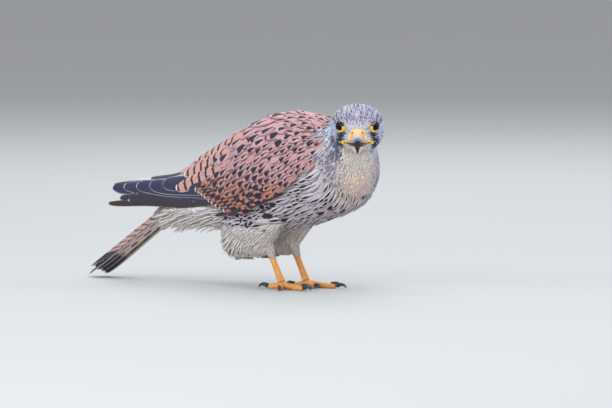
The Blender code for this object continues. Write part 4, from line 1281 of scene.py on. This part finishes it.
def makeBill():
    print("bill, cere and mouth")
    nostril = np.array((25.7, 4.1, 3.8))
    share = np.linspace(0, cereShare, 60)
    f, l, u = billRings(upperBill, share, sides=128, swell=0.1, keel=0.12 + 0.28 * share / cereShare)
    points = np.stack((f, l, u), -1)
    apart = np.linalg.norm(np.stack((f, np.abs(l), u), -1) - nostril, axis=-1)
    push = 0.9 * np.exp(-((apart / 2.3) ** 4)) - 2.2 * np.exp(-((apart / 0.8) ** 2)) - 0.3 * np.exp(-((l / 1.2) ** 2)) * ease(f, 24, 27)
    edge = np.linspace(0, 1, 60)[:, None]
    push = push + 0.25 * np.exp(-(((edge - 0.93) / 0.05) ** 2)) - 0.5 * ease(edge, 0.965, 1.0)
    middle = points.mean(axis=1, keepdims=True)
    outward = points - middle
    outward /= np.linalg.norm(outward, axis=-1, keepdims=True)
    points = points + outward * push[..., None]
    rings = headPoint(points[..., 0], points[..., 1], points[..., 2])
    cere = meshObject("cere_visual", rings, tubeFaces(*rings.shape[:2]))
    turnOutward(cere)
    setAttribute(cere, "hole", np.exp(-((apart / 0.9) ** 2)).ravel())
    setAttribute(cere, "lobe", np.exp(-((apart / 2.6) ** 4)).ravel())
    g = Graph("cere_wax", roughness=0.6, Coat_Weight=0.05)
    waxy = g.mix(g.noise(500.0, 3.0), srgb(236, 172, 10), srgb(250, 200, 30))
    waxy = g.mix(g.attribute("lobe", 2) * 0.92 + 0.08, srgb(216, 184, 150), waxy)
    # The nostrils are painted dark brown: painted shade inside the holes
    g.feed("Base Color", g.mix(g.attribute("hole", 2).step(0.15, 0.6), waxy, srgb(70, 30, 10)))
    g.bump(g.noise(1400.0, 3.0), 0.25, 0.0002)
    cere.data.materials.append(g.material)
    materials["yellow"] = g.material
    finishPiece(cere, "cere_skin", "cere")
    share = np.linspace(cereShare - 0.03, 1.0, 90)
    f, l, u = billRings(upperBill, share, sides=96, keel=0.40 + 0.15 * ease(share, 0.3, 0.5) - 0.25 * ease(share, 0.6, 0.9))
    # A tooth on each cutting edge, just behind the hook
    low = np.clip(-np.cos(np.arange(96) / 96 * tau), 0, 1)[None, :] ** 3
    along = share[:, None]
    u = u - 0.5 * low * np.exp(-(((along - 0.66) / 0.05) ** 2)) * (np.abs(l) > 1)
    rings = headPoint(f, l, u)
    horn = meshObject("upper_bill_visual", rings, tubeFaces(*rings.shape[:2]))
    turnOutward(horn)
    setAttribute(horn, "reach", np.broadcast_to(along, (90, 96)).ravel())
    g = Graph("bill_horn", roughness=0.3, Coat_Weight=0.1, Specular_IOR_Level=0.2)
    reach = g.attribute("reach", 2)
    dark = (reach + (g.noise(240.0) - 0.5) * 0.1).step(0.38, 0.52)
    pale = g.mix(reach.step(0.30, 0.40), srgb(206, 190, 190), srgb(104, 124, 146))
    g.feed("Base Color", g.mix(dark, pale, srgb(12, 12, 18)))
    g.bump(g.noise(500.0, 4.0), 0.12, 0.0002)
    horn.data.materials.append(g.material)
    finishPiece(horn, "bill_horn", "upper_bill")
    f, l, u = billRings(lowerBill, np.linspace(0.0, 1.0, 60), sides=64)
    rings = headPoint(f, l, u)
    jaw = meshObject("lower_bill_visual", rings, tubeFaces(*rings.shape[:2]))
    turnOutward(jaw)
    setAttribute(jaw, "reach", np.broadcast_to(np.linspace(0.22, 0.35, 60)[:, None], (60, 64)).ravel())
    jaw.data.materials.append(g.material)
    finishPiece(jaw, "bill_horn", "lower_bill")
    # Gape: a fleshy line round the open mouth, from under the cere back to the corner and forward under the jaw
    g = Graph("mouth_lining", roughness=0.35, Coat_Weight=0.3)
    # Dark red: the mouth's own flesh colour, darkened as painted shade inside the open mouth
    g.feed("Base Color", g.mix(g.noise(300.0), srgb(64, 18, 28), srgb(104, 36, 44)))
    f = np.linspace(11.5, 28.4, 30)[:, None]
    a = np.arange(40) / 40 * tau
    half = np.interp(f, (11.5, 13, 18.8, 20.2, 24, 27.4, 28.4), (0.5, 7, 11.7, 11.3, 7.4, 3.9, 0.3))
    thick = np.interp(f, (11.5, 14, 26, 28.4), (0.3, 1.7, 1.9, 0.3))
    l = half * np.cos(a)
    u = -5.8 + 0.03 * (19 - f) + 0.85 * thick * np.sin(a)
    lining = meshObject("mouth_lining", headPoint(f + 0 * a, l, u), tubeFaces(30, 40))
    turnOutward(lining)
    lining.data.materials.append(g.material)
    finishPiece(lining, "cere_skin")
    for sign, word in ((1, "left"), (-1, "right")):
        path = np.array(((27.0, 5.0, -1.4), (25.2, 6.9, -2.6), (23.0, 9.2, -3.8), (21.0, 11.4, -4.9), (20.2, 12.4, -5.8),
                         (20.9, 11.4, -6.4), (23.0, 9.0, -6.6), (25.4, 6.4, -6.8)))
        fine = smoothRows(path, 10)
        share = np.linspace(0, 1, len(fine))
        radius = 0.36 + 0.62 * np.exp(-(((share - 0.55) / 0.14) ** 2)) + 0.25 * (1 - share)
        radius = radius * np.sqrt(np.clip(np.sin(np.clip(share, 0.004, 0.996) * math.pi) * 6, 0, 1))
        placed = headPoint(fine[:, 0], sign * fine[:, 1], fine[:, 2])
        rings = tubeAlong(placed, radius, 14)
        lip = meshObject("gape_" + word, rings, tubeFaces(*rings.shape[:2]), materials["yellow"])
        turnOutward(lip)
        setAttribute(lip, "hole", np.zeros(len(lip.data.vertices)))
        setAttribute(lip, "lobe", np.repeat(1 - 0.8 * ease(share, 0.72, 0.95), 14))
        finishPiece(lip, "cere_skin")


# Direction at an angle from the gaze, turned by a round it from the brow side
def gazeDirection(theta, a):
    return (np.cos(theta)[..., None] * gaze
            + (np.sin(theta) * np.cos(a))[..., None] * gazeAbove + (np.sin(theta) * np.sin(a))[..., None] * gazeInward)


def makeEyes():
    print("eyes and lids")
    g = Graph("eye_ball", roughness=0.08, Coat_Weight=0.22, Coat_Roughness=0.03, Specular_IOR_Level=0.05)
    out = g.attribute("away", 2)
    iris = g.mix((g.noise(1500.0, 3.0) * 0.8).clamp(), srgb(26, 15, 12), srgb(14, 9, 9))
    g.feed("Base Color", g.mix(out.step(0.40, 0.47), srgb(4, 4, 7), iris))
    lidSkin = Graph("lid_skin", roughness=0.45)
    yellowUnshaded = lidSkin.attribute("yellowUnshaded", 2) + (lidSkin.noise(900.0) - 0.5) * 0.15
    yellow = lidSkin.mix(lidSkin.noise(600.0, 3.0), srgb(236, 176, 20), srgb(250, 214, 50))
    # Yellow lid skin, painted dark where the brow would shade it: painted shade
    lidSkin.feed("Base Color", lidSkin.mix(yellowUnshaded.step(0.3, 0.6), srgb(40, 34, 38), yellow))
    lidSkin.bump(lidSkin.noise(2200.0, 2.0), 0.4, 0.0002)
    for sign, word in ((1, "left"), (-1, "right")):
        theta = np.linspace(0.0, math.pi, 40)[1:-1][:, None]
        a = np.arange(56)[None, :] / 56 * tau
        bulge = 1 + 0.07 * np.exp(-((theta / 0.62) ** 4))
        spot = np.array(eyeCentre) + eyeRadius * bulge[..., None] * gazeDirection(theta + 0 * a, a + 0 * theta)
        rings = headPoint(spot[..., 0], sign * spot[..., 1], spot[..., 2])
        ball = meshObject("eyeball_" + word, rings, tubeFaces(*rings.shape[:2]), g.material)
        turnOutward(ball)
        setAttribute(ball, "away", np.broadcast_to(theta, (38, 56)).ravel())
        finishPiece(ball, "eye", "eye_" + word)
        # Lid: a ring of yellow skin without feathers, widest towards the bill and below. Above and on the outer side
        # it is painted dark, as painted shade under the brow
        a = np.arange(96)[None, :] / 96 * tau
        b = np.arange(20)[:, None] / 20 * tau
        outer, toBill, above = lidEdge(a)
        inner = np.radians(37 - 15 * above)
        outer = np.maximum(outer, inner + 0.06)
        middle, half = (inner + outer) / 2, (outer - inner) / 2
        theta = middle + half * np.cos(b)
        wrinkle = 0.10 * np.sin(a * 26) * np.sin(b) * (0.3 + toBill)
        r = eyeRadius + 0.18 + (0.25 + 0.6 * toBill + wrinkle) * np.sin(b) + 0.35 * toBill * np.clip(np.cos(b), 0, 1)
        spot = np.array(eyeCentre) + r[..., None] * gazeDirection(theta, a + 0 * theta)
        rings = headPoint(spot[..., 0], sign * spot[..., 1], spot[..., 2])
        index = np.arange(20 * 96).reshape(20, 96)
        right, below = np.roll(index, -1, axis=1), np.roll(index, -1, axis=0)
        quads = np.stack((index, right, np.roll(right, -1, axis=0), below), -1).reshape(-1, 4)
        lid = meshObject("lid_" + word, rings, quads, lidSkin.material)
        turnOutward(lid)
        round = np.degrees(a)
        # Yellow only towards the bill and below; elsewhere the lid carries painted shade from the brow
        yellowUnshaded = ease(round, 66, 84) * ease(218 - round, 0, 18)
        setAttribute(lid, "yellowUnshaded", (yellowUnshaded + 0 * theta).ravel())
        finishPiece(lid, "cere_skin")


def legPlace(points, side):
    return (np.asarray(points) + (0, -legs["apart"], 0)) * (1, -side, 1)


# Scaled tube: its radius carries a scute every pitch along the front or top, and small scales behind
def scaledTube(path, radii, sides, pitch, front, depth=0.09, soleZ=None):
    length = np.concatenate(([0], np.cumsum(np.linalg.norm(np.diff(path, axis=0), axis=1))))
    rings = tubeAlong(path, radii, sides)
    away = rings - path[:, None]
    unit = away / np.maximum(np.linalg.norm(away, axis=-1, keepdims=True), 1e-6)
    facing = np.clip(unit @ np.asarray(front, float), 0, 1)
    saw = (length[:, None] / pitch) % 1.0
    scute = np.where(saw < 0.12, -1.0, 0.5 * np.sin(saw * math.pi)) * ease(facing, 0.15, 0.5)
    a = np.arange(sides)[None, :] / sides * tau
    grain = np.sin(length[:, None] / pitch * tau * 1.7) * np.sin(a * 7) * (1 - ease(facing, 0.1, 0.4)) * 0.5
    rings = rings + unit * ((scute + grain) * depth * 2)[..., None]
    if soleZ is not None:
        rings[..., 2] = np.maximum(rings[..., 2], soleZ)
    return rings


def makeLegs():
    print("legs, feet and claws")
    g = Graph("leg_scales", roughness=0.45, Coat_Weight=0.1)
    cells = g.add("ShaderNodeTexVoronoi", {"feature": "DISTANCE_TO_EDGE"}, {"Vector": g.here(), "Scale": 900.0})
    groove = 1.0 - cells.step(0.02, 0.16)
    warm = g.mix(g.noise(220.0, 3.0), srgb(226, 140, 58), srgb(246, 184, 96))
    g.feed("Base Color", g.mix(groove * 0.45, warm, srgb(150, 80, 40)))
    g.bump(cells.step(0.0, 0.2) + g.noise(1500.0) * 0.2, 0.5, 0.0002)
    clawMaterial = Graph("claw_horn", roughness=0.25, Coat_Weight=0.35)
    clawMaterial.feed("Base Color", clawMaterial.mix(clawMaterial.noise(300.0), srgb(20, 18, 20), srgb(52, 46, 48)))
    for side, word in ((-1, "right"), (1, "left")):
        share = np.linspace(-0.25, 1, 110)[:, None]
        ends = np.array((legs["top"], legs["foot"]))
        flat = ends[0] + (ends[1] - ends[0]) * share
        path = np.column_stack((flat[:, 0], np.zeros(110), flat[:, 1]))
        radii = np.interp(share[:, 0], np.linspace(0, 1, 6), legs["radii"]) * np.sqrt(np.clip((share[:, 0] + 0.26) * 30, 0, 1))
        rings = scaledTube(path, radii, 40, 2.3, (1, 0, 0.2))
        shank = meshObject("shank_" + word, legPlace(rings, side), tubeFaces(110, 40), g.material)
        turnOutward(shank)
        finishPiece(shank, "leg_scales", "tarsus_" + word)
        first = True
        for name, yaw, length, radius, claw in legs["toes"]:
            ahead = planUnit(np.array(float(yaw)))
            s = np.linspace(0, 1, 80)
            rise = radius - legs["padSink"] + 2.0 * (1 - s) ** 2 + 0.8 * np.sin(s * 3 * math.pi) ** 2 * (1 - s)
            path = np.array((legs["foot"][0], 0, 0)) + np.outer(s * length - 1.0, ahead)
            path[:, 2] = rise
            radii = radius * np.interp(s, np.linspace(0, 1, 6), (1.0, 0.98, 0.92, 0.86, 0.84, 0.62))
            radii = radii * (1 + 0.10 * np.cos(s * 3 * tau)) * np.sqrt(np.clip((1.003 - s) * 14, 0, 1))
            toe = meshObject("toe_%s_%s" % (name, word), legPlace(scaledTube(path, radii, 36, 2.0, (0, 0, 1), soleZ=0.0), side),
                             tubeFaces(80, 36), g.material)
            turnOutward(toe)
            finishPiece(toe, "leg_scales", *(("foot_" + word,) if first else ()))
            first = False
            s = np.linspace(0, 1, 36)
            bend = np.radians(-15 + 100 * s)
            step = claw / 35
            out = np.concatenate(([0], np.cumsum(np.cos(bend[:-1]) * step)))
            drop = np.concatenate(([0], np.cumsum(np.sin(bend[:-1]) * step)))
            drop = drop / drop[-1] * (radius * 0.9 - 0.5)
            path = np.array((legs["foot"][0], 0, 0)) + ahead * (length - 1.0 + 3 * legs["gap"]) + np.outer(out, ahead)
            path[:, 2] = radius * 0.95 - drop + 1.1 * np.sin(s * math.pi)
            rings = tubeAlong(path, (1.75 * (1 - s) ** 0.8 + 0.22) * np.sqrt(np.clip((1.004 - s) * 25, 0, 1)), 24)
            rings[..., 2] = np.maximum(rings[..., 2], 0.0)
            nail = meshObject("nail_%s_%s" % (name, word), legPlace(rings, side), tubeFaces(36, 24), clawMaterial.material)
            turnOutward(nail)
            finishPiece(nail, "claw", "claw_%s_%s" % (name, word))


# Studio

view = {"azimuth": 42.0, "elevation": 3.5, "distance": 12.0, "wide": 0.5018, "aimRight": 17 * 0.82, "aimUp": 84 * 0.82}


# Matrix whose columns are three axes and a place
def placed(*columns):
    return Matrix([[float(column[i]) for column in columns] for i in range(3)] + [[0, 0, 0, 1]])


def makeStudio():
    print("floor, lights and camera")
    scene = bpy.context.scene
    az, el = math.radians(view["azimuth"]), math.radians(view["elevation"])
    toward = np.array((math.sin(az) * math.cos(el), -math.cos(az) * math.cos(el), math.sin(el)))
    right = np.array((math.cos(az), math.sin(az), 0.0))
    up = np.cross(toward, right)
    aim = (frameShift + view["aimRight"] * right + view["aimUp"] * up) * mm
    place = aim + toward * view["distance"]
    camera = bpy.data.objects.new("camera", bpy.data.cameras.new("camera"))
    scene.collection.objects.link(camera)
    camera.matrix_world = placed(right, up, toward, place)
    camera.data.lens = 36.0 * view["distance"] / view["wide"]
    camera.data.clip_end = 50.0
    scene.camera = camera
    scene.view_settings.view_transform = "Standard"
    mesh = bpy.data.meshes.new("floor")
    edge = 14.0
    mesh.from_pydata([(-edge, -edge, 0), (edge, -edge, 0), (edge, edge, 0), (-edge, edge, 0)], [], [(0, 1, 2, 3)])
    floor = bpy.data.objects.new("floor", mesh)
    scene.collection.objects.link(floor)
    g = Graph("pale_floor", roughness=0.9)
    g.shader.inputs["Base Color"].default_value = (0.50, 0.51, 0.51, 1.0)
    mesh.materials.append(g.material)
    for name, spot, size, energy, colour in (
            ("soft_key", (1.3, -0.9, 1.7), 1.6, 18.0, (1.0, 0.98, 0.96)),
            ("soft_fill", (0.6, -1.7, 0.45), 1.8, 11.0, (0.94, 0.96, 1.0)),
            ("soft_back", (-1.0, 1.4, 1.5), 1.4, 18.0, (0.95, 0.97, 1.0)),
            ("soft_top", (0.0, 0.0, 2.0), 1.6, 15.0, (0.93, 0.96, 1.0)),
            ("soft_catch_right", (-0.9, -1.42, 0.53), 0.45, 8.0, (0.75, 0.88, 1.0)),
            ("soft_catch_left", (1.66, 0.88, 0.53), 0.45, 8.0, (0.75, 0.88, 1.0))):
        lamp = bpy.data.objects.new(name, bpy.data.lights.new(name, "AREA"))
        lamp.data.shape = "DISK"
        lamp.data.size = size
        lamp.data.energy = energy
        lamp.data.color = colour
        back = np.array(spot) - aim
        back /= np.linalg.norm(back)
        side = np.cross((0.0, 1.0, 0.0), back)
        side /= np.linalg.norm(side)
        above = np.cross(back, side)
        lamp.matrix_world = placed(side, above, back, spot)
        scene.collection.objects.link(lamp)
    world = bpy.data.worlds.new("studio")
    scene.world = world
    world.use_nodes = True
    world.node_tree.nodes["Background"].inputs[0].default_value = (0.80, 0.81, 0.84, 1.0)
    world.node_tree.nodes["Background"].inputs[1].default_value = 0.68


makeMaterials()
makeSkin()
makeTail()
makeSoftCoat()
makeBodyCoat()
makeNeckCoat()
makeRump()
makeFlight()
makeCoverts()
makeHeadCoat()
makeBill()
makeEyes()
makeLegs()
makeStudio()
